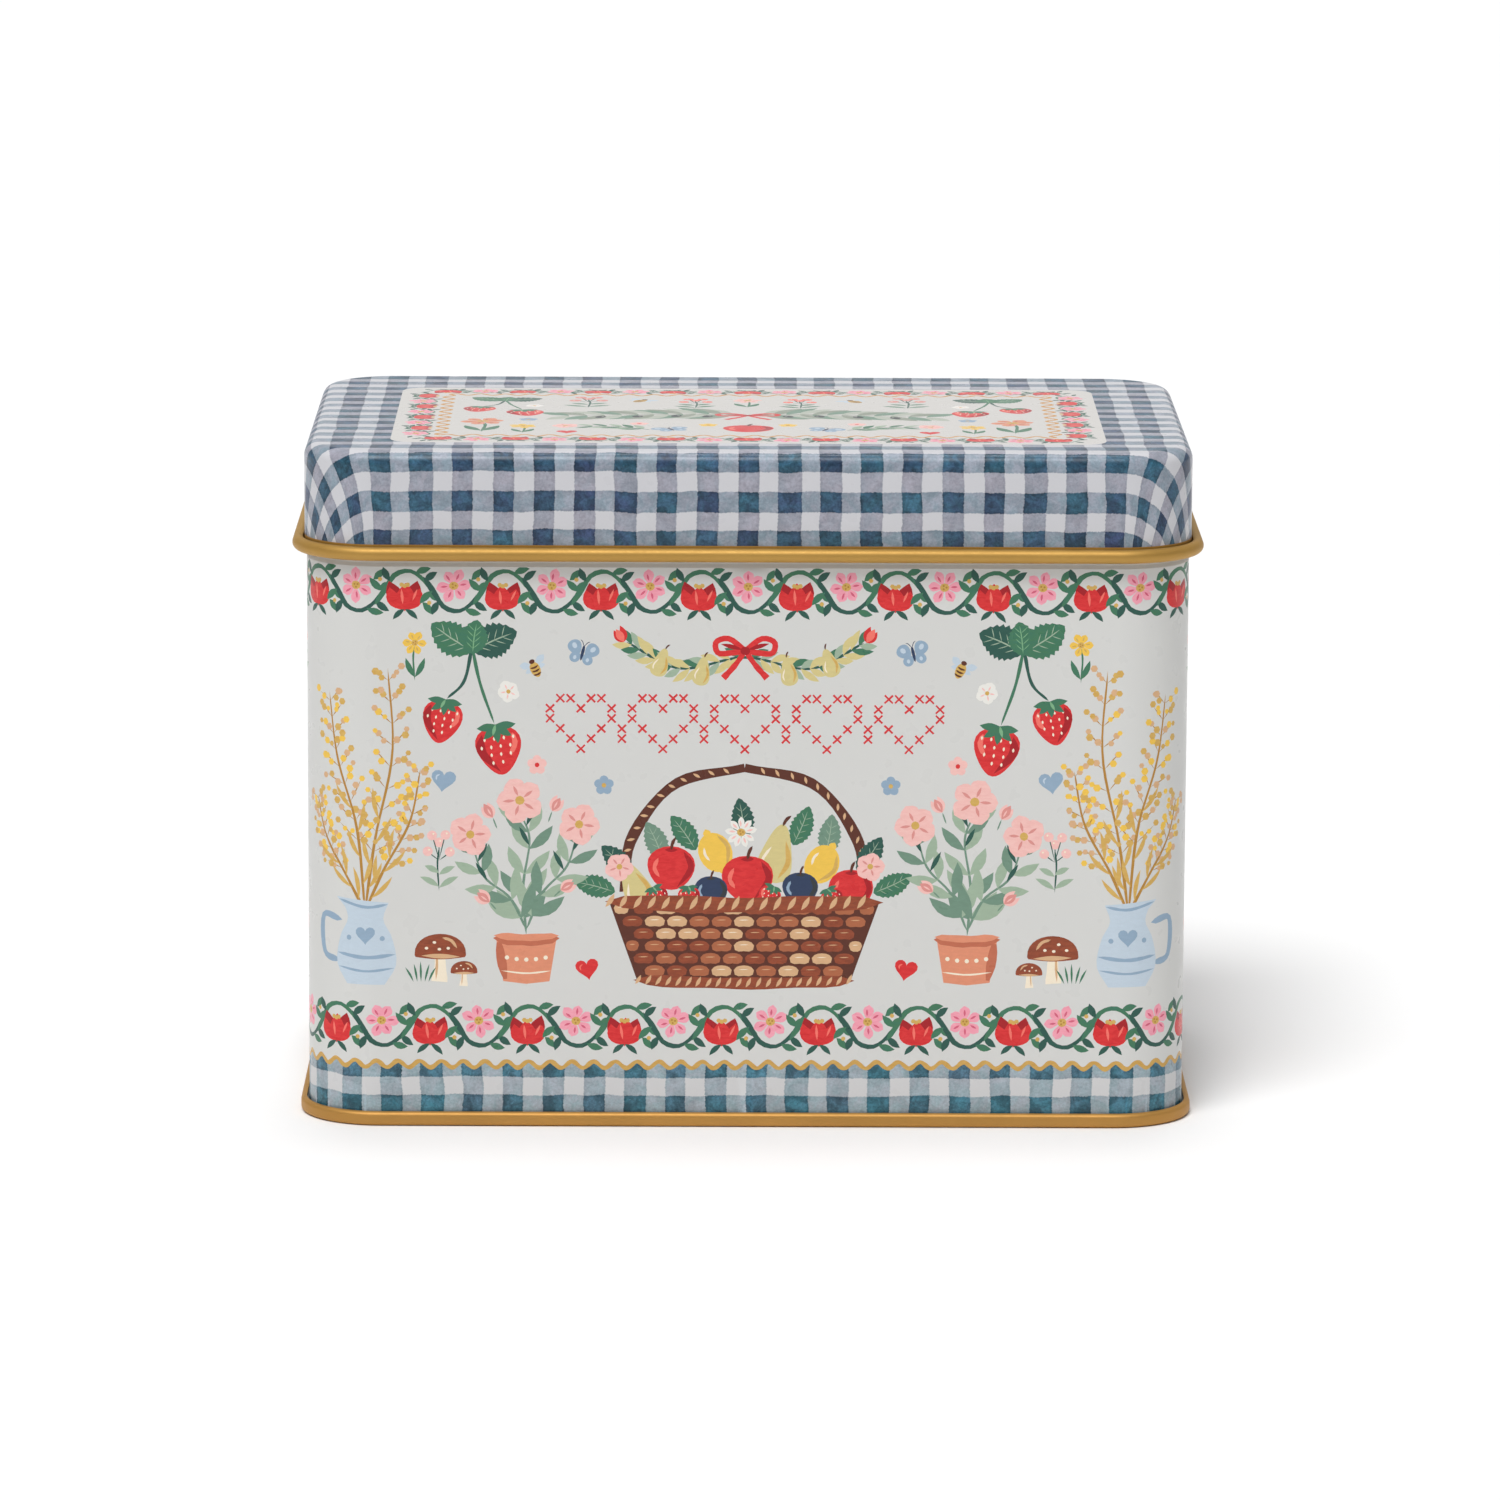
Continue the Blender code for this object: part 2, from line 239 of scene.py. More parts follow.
def gingham_material(name, period, phase, paper, uprights, levels, darks):
    """Hand-painted checks: two sets of watercolour stripes, darker where they
    cross, with ragged edges, pooled paint and paper grain."""
    n = Nodes(name, specular=0.27)
    u, v = n.uv()
    at = n.vec(u, v)
    grain = n.ramp(n.noise(at, 1.9, 3.0, 0.80), 0.32, 0.68, smooth=False)
    blot = n.ramp(n.noise(at, 0.26, 3.0, 0.62, 0.5), 0.34, 0.66)
    blot2 = n.ramp(n.noise(n.vec(n.add(u, 91.0), v), 0.40, 3.0, 0.62, 0.6),
                   0.34, 0.66)
    ragged = n.mul(n.sub(n.noise(at, 2.6, 3.0, 0.6), 0.5), 0.55)

    def stripes(a, b, p, ph, seed):
        sway = n.mul(n.sub(n.noise(n.vec(n.mul(a, 0.30), n.mul(b, 1.0), seed),
                                   0.16, 2.0), 0.5), 1.15)
        t = n.math("DIVIDE", n.add(n.add(a, sway), -ph), p)
        cell = n.math("FLOOR", n.add(t, 0.5))
        off = n.mul(n.math("ABSOLUTE", n.sub(t, cell)), p)
        own = n.white(cell, seed)
        half = n.add(p * 0.268, n.mul(n.sub(own, 0.5), 0.40))
        edge = n.sub(n.add(half, ragged), off)
        return n.ramp(edge, -0.09, 0.09), n.ramp(edge, 0.05, 0.70, 1.0, 0.0), \
            cell, own

    mu, pool_u, cell_u, own_u = stripes(u, v, period[0], phase[0], 1.7)
    mv, pool_v, cell_v, own_v = stripes(v, u, period[1], phase[1], 8.3)

    def wash(cool, teal, hue, depth, spread, grains):
        c = n.mix(hue, cool, teal)
        level = n.add(1.0 - spread * 0.5, n.mul(depth, spread))
        level = n.mul(level, n.add(1.0 - grains * 0.5, n.mul(grain, grains)))
        return n.scale_colour(c, level)

    vertical = wash(*uprights,
                    n.math("ADD", n.mul(blot, 0.60), n.mul(own_u, 0.25),
                           clamp=True), blot2, 0.20, 0.34)
    level_v = wash(*levels,
                   n.math("ADD", n.mul(blot2, 0.75), n.mul(own_v, 0.25),
                          clamp=True), blot, 0.24, 0.36)
    own_x = n.white(cell_u, cell_v)
    hue_x = n.math("ADD", n.mul(own_x, 0.80), n.mul(blot, 0.40), clamp=True)
    cross = wash(*darks, hue_x, blot2, 0.72, 0.66)
    cross = n.scale_colour(cross, n.add(0.86, n.mul(n.white(cell_v, cell_u),
                                                    0.34)))
    pool = n.math("MAXIMUM", pool_u, pool_v)
    cross = n.scale_colour(cross, n.sub(1.06, n.mul(pool, 0.24)))

    ground = n.scale_colour(paper, n.add(0.985, n.mul(grain, 0.02)))
    c = n.mix(mu, ground, n.scale_colour(vertical, n.sub(
        1.03, n.mul(pool_u, 0.08))))
    c = n.mix(n.mul(mv, n.sub(1.0, mu)), c, n.scale_colour(level_v, n.sub(
        1.03, n.mul(pool_v, 0.08))))
    c = n.mix(n.mul(mu, mv), c, cross)
    n.colour(c)
    lacquer(n, u, v)
    return n.mat


def ink(name, colour, vary=0.22, grains=0.10, shift=(1.0, 1.0, 1.0)):
    """One flat printed colour with the drag of a gouache brush in it."""
    n = Nodes(name, specular=0.27)
    u, v = n.uv()
    at = n.vec(u, v)
    drag = n.noise(n.vec(n.mul(u, 0.6), n.mul(v, 1.7)), 0.9, 4.0, 0.62, 0.8)
    fine = n.noise(at, 4.5, 3.0, 0.7)
    other = tuple(c * s for c, s in zip(colour, shift))
    c = n.mix(n.ramp(drag, 0.3, 0.7), colour, other)
    level = n.mul(n.add(1.0 - vary * 0.5, n.mul(drag, vary)),
                  n.add(1.0 - grains * 0.5, n.mul(fine, grains)))
    n.colour(n.scale_colour(c, level))
    lacquer(n, u, v)
    return n.mat


def gold_material(name, light, dark):
    """Gold lacquer over tinplate, rolled to a satin shine."""
    n = Nodes(name, roughness=0.54, metallic=0.55)
    x, y, z = n.object_xyz()
    at = n.vec(x, y, z)
    cloud = n.noise(at, 0.05, 3.0, 0.6)
    fleck = n.noise(at, 1.8, 3.0, 0.65)
    c = n.mix(n.ramp(cloud, 0.3, 0.7), light, dark)
    c = n.scale_colour(c, n.add(0.94, n.mul(fleck, 0.12)))
    n.colour(c)
    n.roughness(n.ramp(fleck, 0.25, 0.75, 0.49, 0.58))
    n.bump(n.add(n.mul(fleck, 0.012), n.mul(n.noise(at, 0.16, 1.0), 0.10)),
           0.7, 1.0)
    return n.mat


def tin_material(name="tinplate", light=(0.69, 0.69, 0.68),
                 dark=(0.66, 0.66, 0.645)):
    """Bare tinplate inside the box, with its rolling marks."""
    n = Nodes(name, roughness=0.34, metallic=1.0)
    x, y, z = n.object_xyz()
    rolled = n.noise(n.vec(n.mul(x, 0.015), n.mul(y, 0.9), n.mul(z, 0.9)),
                     1.0, 3.0, 0.6)
    cloud = n.noise(n.vec(x, y, z), 0.02, 2.0, 0.5)
    c = n.mix(n.ramp(cloud, 0.3, 0.7), dark, light)
    n.colour(n.scale_colour(c, n.add(0.975, n.mul(rolled, 0.05))))
    n.roughness(n.ramp(rolled, 0.3, 0.7, 0.32, 0.37))
    return n.mat


# ================================================================== geometry
def station(s, o):
    """Point (x, y) and outward normal of the rounded rectangle at offset o,
    at s along the wall's face. s is 0 at the front's middle and grows to
    the right."""
    s = (s + HALF) % PERIMETER - HALF
    sign = 1.0 if s >= 0 else -1.0
    a, r = abs(s), R0 + o
    if a <= FX:
        x, y, nx, ny = a, -(FY + r), 0.0, -1.0
    elif a <= FX + CORNER_ARC:
        t = (a - FX) / WALL_R
        nx, ny = sin(t), -cos(t)
        x, y = FX + r * nx, -FY + r * ny
    elif a <= SIDE_MID + FY:
        x, y, nx, ny = FX + r, a - SIDE_MID, 1.0, 0.0
    elif a <= SIDE_MID + FY + CORNER_ARC:
        t = (a - SIDE_MID - FY) / WALL_R
        nx, ny = cos(t), sin(t)
        x, y = FX + r * nx, FY + r * ny
    else:
        x, y, nx, ny = HALF - a, FY + r, 0.0, 1.0
    return sign * x, y, sign * nx, ny


def stations():
    """Every s at which the sheet is divided, from -HALF to HALF."""
    right = [0.0, FX]
    right += [FX + CORNER_ARC * i / CORNER_STEPS
              for i in range(1, CORNER_STEPS + 1)]
    right += [SIDE_MID, SIDE_MID + FY]
    right += [SIDE_MID + FY + CORNER_ARC * i / CORNER_STEPS
              for i in range(1, CORNER_STEPS + 1)]
    right += [HALF - 3.1, HALF - 2.5, HALF]
    return [-s for s in reversed(right)] + right[1:]


STATIONS = stations()


def seam_depth(s, amount=0.30):
    """The side seam's shallow groove, down the middle of the back."""
    d = HALF - abs(s)
    if d <= 2.5:
        return amount
    if d >= 3.1:
        return 0.0
    return amount * (3.1 - d) / 0.6


def arc(co, cz, r, a0, a1, steps):
    return [(co + r * cos(radians(a0 + (a1 - a0) * i / steps)),
             cz + r * sin(radians(a0 + (a1 - a0) * i / steps)))
            for i in range(steps + 1)]


class Skin:
    """Collects faces, their material names, sheet coordinates, bake
    coordinates and normals, and makes one mesh of them."""

    def __init__(self, name):
        self.name = name
        self.verts, self.faces, self.mats = [], [], []
        self.sheet, self.bake, self.normals = [], [], []

    def add(self, points, mat, sheet, bake, normals=None):
        """One face: points in millimetres, and for each corner its sheet and
        bake coordinates. normals is one per corner, or None for smooth."""
        base = len(self.verts)
        self.verts += [tuple(p) for p in points]
        self.faces.append(list(range(base, base + len(points))))
        self.mats.append(mat)
        self.sheet.append(sheet)
        self.bake.append(bake)
        self.normals.append(normals or [(0.0, 0.0, 0.0)] * len(points))

    def make(self, materials, weld=2e-4, sharp=40.0):
        co = np.array(self.verts, float)
        keys = np.round(co / weld).astype(np.int64)
        _, first, inverse = np.unique(keys, axis=0, return_index=True,
                                      return_inverse=True)
        inverse = inverse.reshape(-1)
        mesh = bpy.data.meshes.new(self.name)
        faces, keep = [], []
        for i, f in enumerate(self.faces):
            g = []
            for c, k in enumerate(f):
                w = int(inverse[k])
                if w not in [q[0] for q in g]:
                    g.append((w, c))
            if len(g) >= 3:
                faces.append([q[0] for q in g])
                keep.append((i, [q[1] for q in g]))
        mesh.from_pydata([tuple(co[k] * MM) for k in first], [], faces)
        names = []
        for i, _ in keep:
            if self.mats[i] not in names:
                names.append(self.mats[i])
        for nme in names:
            mesh.materials.append(materials[nme])
        index = {nme: i for i, nme in enumerate(names)}
        mesh.polygons.foreach_set("material_index",
                                  [index[self.mats[i]] for i, _ in keep])
        bake = mesh.uv_layers.new(name="OFBake")
        sheet = mesh.uv_layers.new(name="sheet")
        flat_b, flat_s, custom = [], [], []
        for i, corners in keep:
            for c in corners:
                flat_b += list(self.bake[i][c])
                flat_s += [self.sheet[i][c][0] / 100.0,
                           self.sheet[i][c][1] / 100.0]
                custom.append(self.normals[i][c])
        bake.data.foreach_set("uv", flat_b)
        sheet.data.foreach_set("uv", flat_s)
        mesh.shade_smooth()
        mesh.set_sharp_from_angle(angle=radians(sharp))
        mesh.update()
        mesh.normals_split_custom_set(custom)
        mesh.validate()
        obj = bpy.data.objects.new(self.name, mesh)
        bpy.context.scene.collection.objects.link(obj)
        return obj


def profile_lengths(profile):
    out = [0.0]
    for (o0, z0), (o1, z1) in zip(profile, profile[1:]):
        out.append(out[-1] + math.hypot(o1 - o0, z1 - z0))
    return out


def sweep(skin, profile, mat, sheet, bake, depth=lambda s, z: 0.0,
          closed=False):
    """Wraps a profile of (o, z) points round the box. mat, sheet and bake
    are functions: mat(i, s) names the material of the band above point i,
    sheet(s, i) and bake(s, i, t) give coordinates at a corner, where t is
    the length along the profile."""
    lengths = profile_lengths(profile)
    n = len(profile)
    pairs = [(i, i + 1) for i in range(n - 1)]
    cache = {}

    def point(j, i):
        if (j, i) not in cache:
            o, z = profile[i]
            s = STATIONS[j]
            x, y, nx, ny = station(s, o)
            d = depth(s, z)
            cache[(j, i)] = (x - nx * d, y - ny * d, z)
        return cache[(j, i)]

    for a, b in pairs:
        for j in range(len(STATIONS) - 1):
            s0, s1 = STATIONS[j], STATIONS[j + 1]
            skin.add([point(j, a), point(j + 1, a), point(j + 1, b),
                      point(j, b)],
                     mat(a, (s0 + s1) / 2),
                     [sheet(s0, a), sheet(s1, a), sheet(s1, b), sheet(s0, b)],
                     [bake(s0, a, lengths[a]), bake(s1, a, lengths[a]),
                      bake(s1, b, lengths[b]), bake(s0, b, lengths[b])])


# =========================================================== printed artwork
class Art:
    """Painted shapes in a flat sheet's own millimetres, in painting order."""

    def __init__(self):
        self.shapes = []

    def add(self, colour, points):
        pts = np.asarray(points, float)
        if len(pts) >= 3:
            self.shapes.append((colour, pts))


def inside(points, outline):
    """Which points lie within an outline, by its winding number."""
    x, y = points[:, 0:1], points[:, 1:2]
    ax, ay = outline[:, 0], outline[:, 1]
    bx, by = np.roll(ax, -1), np.roll(ay, -1)
    side = (bx - ax) * (y - ay) - (x - ax) * (by - ay)
    up = (ay <= y) & (by > y) & (side > 0)
    down = (ay > y) & (by <= y) & (side < 0)
    return (up.sum(1) - down.sum(1)) != 0


def partition(art, base, x_cuts, y_cuts, lines=(), outline=None,
              epsilon=2e-4):
    """Cuts the flat sheet into triangles along every painted outline and every
    upright line, tile by tile. Yields (three points, colour name)."""
    boxes = np.array([(*p.min(0), *p.max(0)) for _, p in art.shapes])
    for x0, x1 in zip(x_cuts, x_cuts[1:]):
        for y0, y1 in zip(y_cuts, y_cuts[1:]):
            hit = np.nonzero((boxes[:, 0] < x1) & (boxes[:, 2] > x0)
                             & (boxes[:, 1] < y1) & (boxes[:, 3] > y0))[0]
            verts = [(x0, y0), (x1, y0), (x1, y1), (x0, y1)]
            edges = [(0, 1), (1, 2), (2, 3), (3, 0)]
            loops = [art.shapes[h][1] for h in hit]
            if outline is not None:
                loops.append(np.asarray(outline))
            for pts in loops:
                nxt = np.roll(pts, -1, 0)
                lo, hi = np.minimum(pts, nxt), np.maximum(pts, nxt)
                near = ((lo[:, 0] < x1) & (hi[:, 0] > x0)
                        & (lo[:, 1] < y1) & (hi[:, 1] > y0))
                index = {}
                m = len(pts)
                for k in np.nonzero(near)[0]:
                    for q in (k, (k + 1) % m):
                        if q not in index:
                            index[q] = len(verts)
                            verts.append(pts[q])
                    edges.append((index[k], index[(k + 1) % m]))
            for s in lines:
                if x0 + 1e-6 < s < x1 - 1e-6:
                    edges.append((len(verts), len(verts) + 1))
                    verts += [(s, y0 - 1.0), (s, y1 + 1.0)]
            out = geometry.delaunay_2d_cdt(
                [Vector((float(q[0]), float(q[1]))) for q in verts], edges,
                [], 0, epsilon, False)
            flat = np.array([tuple(q) for q in out[0]])
            tris = np.array([f for f in out[2] if len(f) == 3], int)
            mid = flat[tris].mean(1)
            keep = ((mid[:, 0] > x0) & (mid[:, 0] < x1)
                    & (mid[:, 1] > y0) & (mid[:, 1] < y1))
            if outline is not None:
                keep &= inside(mid, np.asarray(outline))
            tris, mid = tris[keep], mid[keep]
            colour = [base] * len(tris)
            left = np.arange(len(tris))
            for h in hit[::-1]:
                if not len(left):
                    break
                bx = boxes[h]
                m = mid[left]
                close = ((m[:, 0] > bx[0]) & (m[:, 0] < bx[2])
                         & (m[:, 1] > bx[1]) & (m[:, 1] < bx[3]))
                if not close.any():
                    continue
                rows = np.nonzero(close)[0]
                rows = rows[inside(m[rows], art.shapes[h][1])]
                for r in rows:
                    colour[left[r]] = art.shapes[h][0]
                left = np.delete(left, rows)
            for tri, c in zip(tris, colour):
                yield [tuple(flat[k]) for k in tri], c


def between(lo, hi, count):
    return [lo + (hi - lo) * i / count for i in range(count + 1)]


W_LOW, W_HIGH = 1.9, SHOULDER_LOW
ART = Art()
LID_ART = Art()


# ------------------------------------------------------------ brush outlines
def ribbon(line, half):
    """The outline of a brush mark along a line, from its half widths."""
    line, half = np.asarray(line, float), np.asarray(half, float)
    t = np.gradient(line, axis=0)
    t /= np.maximum(np.hypot(t[:, 0], t[:, 1]), 1e-9)[:, None]
    side = np.stack([-t[:, 1], t[:, 0]], 1) * half[:, None]
    pts = list(line + side) + list((line - side)[::-1])
    out = [pts[0]]
    for p in pts[1:]:
        if np.hypot(*(p - out[-1])) > 2e-3:
            out.append(p)
    if len(out) > 3 and np.hypot(*(out[0] - out[-1])) < 2e-3:
        out.pop()
    return out


def curve(control, n=18):
    """A smooth line through the control points."""
    c = np.asarray(control, float)
    c = np.vstack([2 * c[0] - c[1], c, 2 * c[-1] - c[-2]])
    m = len(c) - 3
    out = []
    for k in range(n):
        f = k / (n - 1) * m
        i = min(int(f), m - 1)
        t = f - i
        p0, p1, p2, p3 = c[i:i + 4]
        out.append(0.5 * (2 * p1 + (p2 - p0) * t
                          + (2 * p0 - 5 * p1 + 4 * p2 - p3) * t * t
                          + (3 * p1 - p0 - 3 * p2 + p3) * t ** 3))
    return np.array(out)


def bent(x, y, angle, length, bend, n):
    """A line that leaves (x, y) at an angle and turns by bend on its way."""
    t = np.linspace(0, 1, n)
    a = np.radians(angle + bend * t)
    step = length / (n - 1)
    cx = np.concatenate([[0], np.cumsum((np.cos(a[1:]) + np.cos(a[:-1])) / 2)])
    cy = np.concatenate([[0], np.cumsum((np.sin(a[1:]) + np.sin(a[:-1])) / 2)])
    return np.stack([x + step * cx, y + step * cy], 1)


class Pen:
    """Paints into an Art at a place, size and turn, with a steady hand that
    shakes a little. Angles are degrees, 0 to the right and 90 up."""

    def __init__(self, art, x=0.0, y=0.0, size=1.0, turn=0.0, flip=False,
                 seed=1):
        self.art, self.x, self.y, self.size = art, x, y, size
        self.turn, self.flip, self.seed = turn, flip, seed
        self.rng = np.random.RandomState(seed)

    def at(self, x, y, size=1.0, turn=0.0, flip=False):
        """A pen for a detail of this drawing."""
        p = self.place([(x, y)])[0]
        sign = -1 if self.flip else 1
        return Pen(self.art, p[0], p[1], self.size * size,
                   self.turn + sign * turn, self.flip != flip,
                   self.seed * 31 + int(abs(x) * 7 + abs(y) * 13) % 997)

    def place(self, pts):
        p = np.asarray(pts, float) * self.size
        if self.flip:
            p = p * (-1.0, 1.0)
        c, s = cos(radians(self.turn)), sin(radians(self.turn))
        return np.stack([self.x + c * p[:, 0] - s * p[:, 1],
                         self.y + s * p[:, 0] + c * p[:, 1]], 1)

    def fill(self, colour, pts, shake=0.0):
        p = np.asarray(pts, float)
        if shake:
            mid = p.mean(0)
            t = np.linspace(0, 2 * pi, len(p), endpoint=False)
            d = sum(shake / k * self.rng.uniform(0.3, 1.0)
                    * np.sin(k * t + self.rng.uniform(0, 2 * pi))
                    for k in (2, 3, 5))
            p = mid + (p - mid) * (1 + d)[:, None]
        self.art.add(colour, self.place(p))

    def leaf(self, colour, x, y, angle, length, width, bend=0.0, belly=0.5,
             n=6):
        t = np.linspace(0, 1, n)
        w = width / 2 * np.sin(pi * t ** (math.log(0.5) / math.log(belly)))
        length *= self.rng.uniform(0.94, 1.06)
        self.fill(colour, ribbon(bent(x, y, angle + self.rng.uniform(-3, 3),
                                      length, bend, n), np.maximum(w, 0)))

    def petal(self, colour, x, y, angle, length, width, n=8, belly=0.66):
        t = np.linspace(0, 1, n)
        w = width / 2 * np.sin(pi * t ** (math.log(0.5)
                                          / math.log(belly))) ** 0.8
        w *= self.rng.uniform(0.92, 1.08)
        self.fill(colour, ribbon(bent(x, y, angle, length,
                                      self.rng.uniform(-9, 9), n), w))

    def oval(self, colour, x, y, rx, ry=None, turn=0.0, n=14, shake=0.05):
        ry = rx if ry is None else ry
        t = np.linspace(0, 2 * pi, n, endpoint=False) + self.seed % 7
        c, s = cos(radians(turn)), sin(radians(turn))
        px, py = rx * np.cos(t), ry * np.sin(t)
        self.fill(colour, np.stack([x + c * px - s * py,
                                    y + s * px + c * py], 1), shake)

    def egg(self, colour, x, y, w, h, taper=0.25, turn=0.0, n=20, shake=0.025):
        """Width w, height h, broader towards the top for a positive taper."""
        t = np.linspace(0, 2 * pi, n, endpoint=False)
        px = w / 2 * np.sin(t) * (1 + taper * np.cos(t))
        py = h / 2 * np.cos(t)
        c, s = cos(radians(turn)), sin(radians(turn))
        self.fill(colour, np.stack([x + c * px - s * py,
                                    y + s * px + c * py], 1), shake)

    def stroke(self, colour, control, w0, w1=None, n=14, tips=True):
        line = curve(control, n)
        t = np.linspace(0, 1, n)
        w = (w0 + ((w0 if w1 is None else w1) - w0) * t) / 2
        if tips:
            w = w * np.clip(np.minimum(t, 1 - t) * n / 1.6, 0, 1) ** 0.5
        w = w * (1 + 0.10 * np.sin(t * 17 + self.rng.uniform(0, 6)))
        self.fill(colour, ribbon(line, w))


# ------------------------------------------------------------------- motifs
def daisy(p, x, y, r, petals, colour, vein, eye="ochre", dot="ochre_deep"):
    turn = p.rng.uniform(0, 40)
    for i in range(petals):
        a = turn + 360.0 * i / petals + p.rng.uniform(-5, 5)
        p.petal(colour, x, y, a, r * p.rng.uniform(0.92, 1.06),
                r * 2.9 / petals * 1.25, n=7)
    for i in range(petals):
        a = radians(turn + 360.0 * (i + 0.05) / petals)
        p.leaf(vein, x + 0.34 * r * cos(a), y + 0.34 * r * sin(a),
               math.degrees(a), r * 0.42, r * 0.13, n=5)
    p.oval(eye, x, y, r * 0.27, r * 0.25, n=9)
    for i in range(3):
        a = radians(turn + 120 * i)
        p.oval(dot, x + 0.11 * r * cos(a), y + 0.11 * r * sin(a),
               r * 0.065, n=5)


def tulip(p, x, y, angle, h, colour, light, heart="coral"):
    for d in (-30, 30):
        p.leaf(colour, x, y, angle + d, h * 1.02, h * 0.46, bend=-d * 1.15,
               belly=0.46, n=8)
    p.leaf(light, x, y, angle, h * 0.98, h * 0.48, belly=0.5, n=8)
    c, s = cos(radians(angle)), sin(radians(angle))
    p.leaf(heart, x + 0.18 * h * c, y + 0.18 * h * s, angle, h * 0.5,
           h * 0.10, n=5)


def blossom(p, x, y, r, colour, vein, eye="ochre", petals=5):
    turn = p.rng.uniform(0, 72)
    for i in range(petals):
        a = turn + 360.0 * i / petals
        p.petal(colour, x, y, a, r * p.rng.uniform(0.93, 1.05), r * 0.92, n=9,
                belly=0.64)
    for i in range(petals):
        a = radians(turn + 360.0 * i / petals)
        p.leaf(vein, x + 0.2 * r * cos(a), y + 0.2 * r * sin(a),
               math.degrees(a), r * 0.5, r * 0.14, n=5)
    p.oval(eye, x, y, r * 0.2, n=8)


def butterfly(p, wing, spot, body="navy"):
    for side in (1, -1):
        p.egg(wing, side * 1.55, 0.75, 2.5, 2.9, 0.3, -side * 38)
        p.egg(wing, side * 1.15, -1.0, 1.9, 2.2, 0.1, -side * 140)
        p.oval(spot, side * 1.75, 1.05, 0.45, 0.6, -side * 38, n=8)
        p.oval(spot, side * 1.2, -1.1, 0.32, 0.42, n=7)
        p.stroke(body, [(0, 1.2), (side * 0.5, 2.1), (side * 1.0, 2.35)],
                 0.16, 0.12, n=6)
    p.egg(body, 0, 0, 0.6, 3.0, 0.2, n=10)


def bee(p):
    for side, a in ((1, 28), (-1, 152)):
        p.leaf("pale_blue", side * 0.2, 0.5, a, 2.6, 1.4, belly=0.6)
        p.leaf("pale_blue", side * 0.3, 0.2, a - side * 40, 1.8, 1.0)
    p.egg("ochre", 0, -0.3, 1.9, 3.0, 0.15, n=14)
    for z in (-1.1, -0.4, 0.3):
        p.stroke("brown_deep", [(-0.82, z), (0, z - 0.18), (0.82, z)], 0.36,
                 n=6)
    p.oval("brown_deep", 0, 1.35, 0.55, 0.45, n=9)


def heart(p, colour, h, light=None):
    t = np.linspace(0, 2 * pi, 22, endpoint=False)
    x = 16 * np.sin(t) ** 3
    y = 13 * np.cos(t) - 5 * np.cos(2 * t) - 2 * np.cos(3 * t) - np.cos(4 * t)
    p.fill(colour, np.stack([x, y + 2.5], 1) * h / 29.0, 0.03)
    if light:
        p.stroke(light, [(-0.30 * h, 0.02 * h), (-0.32 * h, 0.20 * h),
                         (-0.18 * h, 0.30 * h)], 0.07 * h, n=6)


def floret(p, colour, eye, r=1.9):
    """Five round petals."""
    for i in range(5):
        a = radians(90 + 72 * i)
        p.oval(colour, 0.55 * r * cos(a), 0.55 * r * sin(a), 0.44 * r, n=10)
    p.oval(eye, 0, 0, 0.24 * r, n=7)


def strawberry(p, h):
    """Hangs from its leaves at the origin."""
    p.egg("red", 0, -0.52 * h, 0.86 * h, h, 0.34, n=24, shake=0.02)
    p.fill("red_deep", ribbon(curve([(0.30 * h, -0.18 * h),
                                     (0.34 * h, -0.52 * h),
                                     (0.02 * h, -0.96 * h)], 10),
                              np.array([0, .5, .8, 1, 1, .9, .8, .6, .3, 0])
                              * 0.09 * h))
    p.stroke("coral", [(-0.30 * h, -0.20 * h), (-0.33 * h, -0.42 * h),
                       (-0.22 * h, -0.62 * h)], 0.10 * h, n=8)
    for r, (z, k) in enumerate(((-0.24, 4), (-0.40, 4), (-0.56, 3),
                                (-0.72, 2))):
        for i in range(k):
            x = (i - (k - 1) / 2) * 0.19 + (0.05 if r % 2 else -0.03)
            p.leaf("cream", x * h, z * h, -90, 0.085 * h, 0.05 * h, n=4)
    for a in (200, 235, 270, 305, 340):
        p.leaf("green", 0, 0.0, a, 0.40 * h, 0.16 * h,
               bend=25 if a > 270 else -25 if a < 270 else 0)
    p.leaf("leaf_light", 0, 0.02, 290, 0.24 * h, 0.07 * h, n=5)


def broad_leaf(p, x, y, angle, length, width, colour="green",
               vein="leaf_light"):
    """A strawberry leaf: toothed, with veins."""
    n = 9
    t = np.linspace(0, 1, 2 * n + 1)
    w = width / 2 * np.sin(pi * t ** 0.9) ** 0.75
    w[1:-1:2] *= 1.12
    w[2:-1:2] *= 0.93
    line = bent(x, y, angle, length, 12, 2 * n + 1)
    p.fill(colour, ribbon(line, w))
    p.stroke(vein, [line[1], line[n], line[-3]], 0.05 * width, 0.03 * width,
             n=7)
    d = radians(angle)
    for k in (3, 6, 9, 12):
        for side in (1, -1):
            a = d + side * 0.85
            q = line[k]
            p.stroke(vein, [q, (q[0] + 0.19 * width * cos(a),
                                q[1] + 0.19 * width * sin(a)),
                            (q[0] + 0.36 * width * cos(a * 0.96 + d * 0.04),
                             q[1] + 0.36 * width * sin(a * 0.96 + d * 0.04))],
                     0.035 * width, 0.02 * width, n=4)


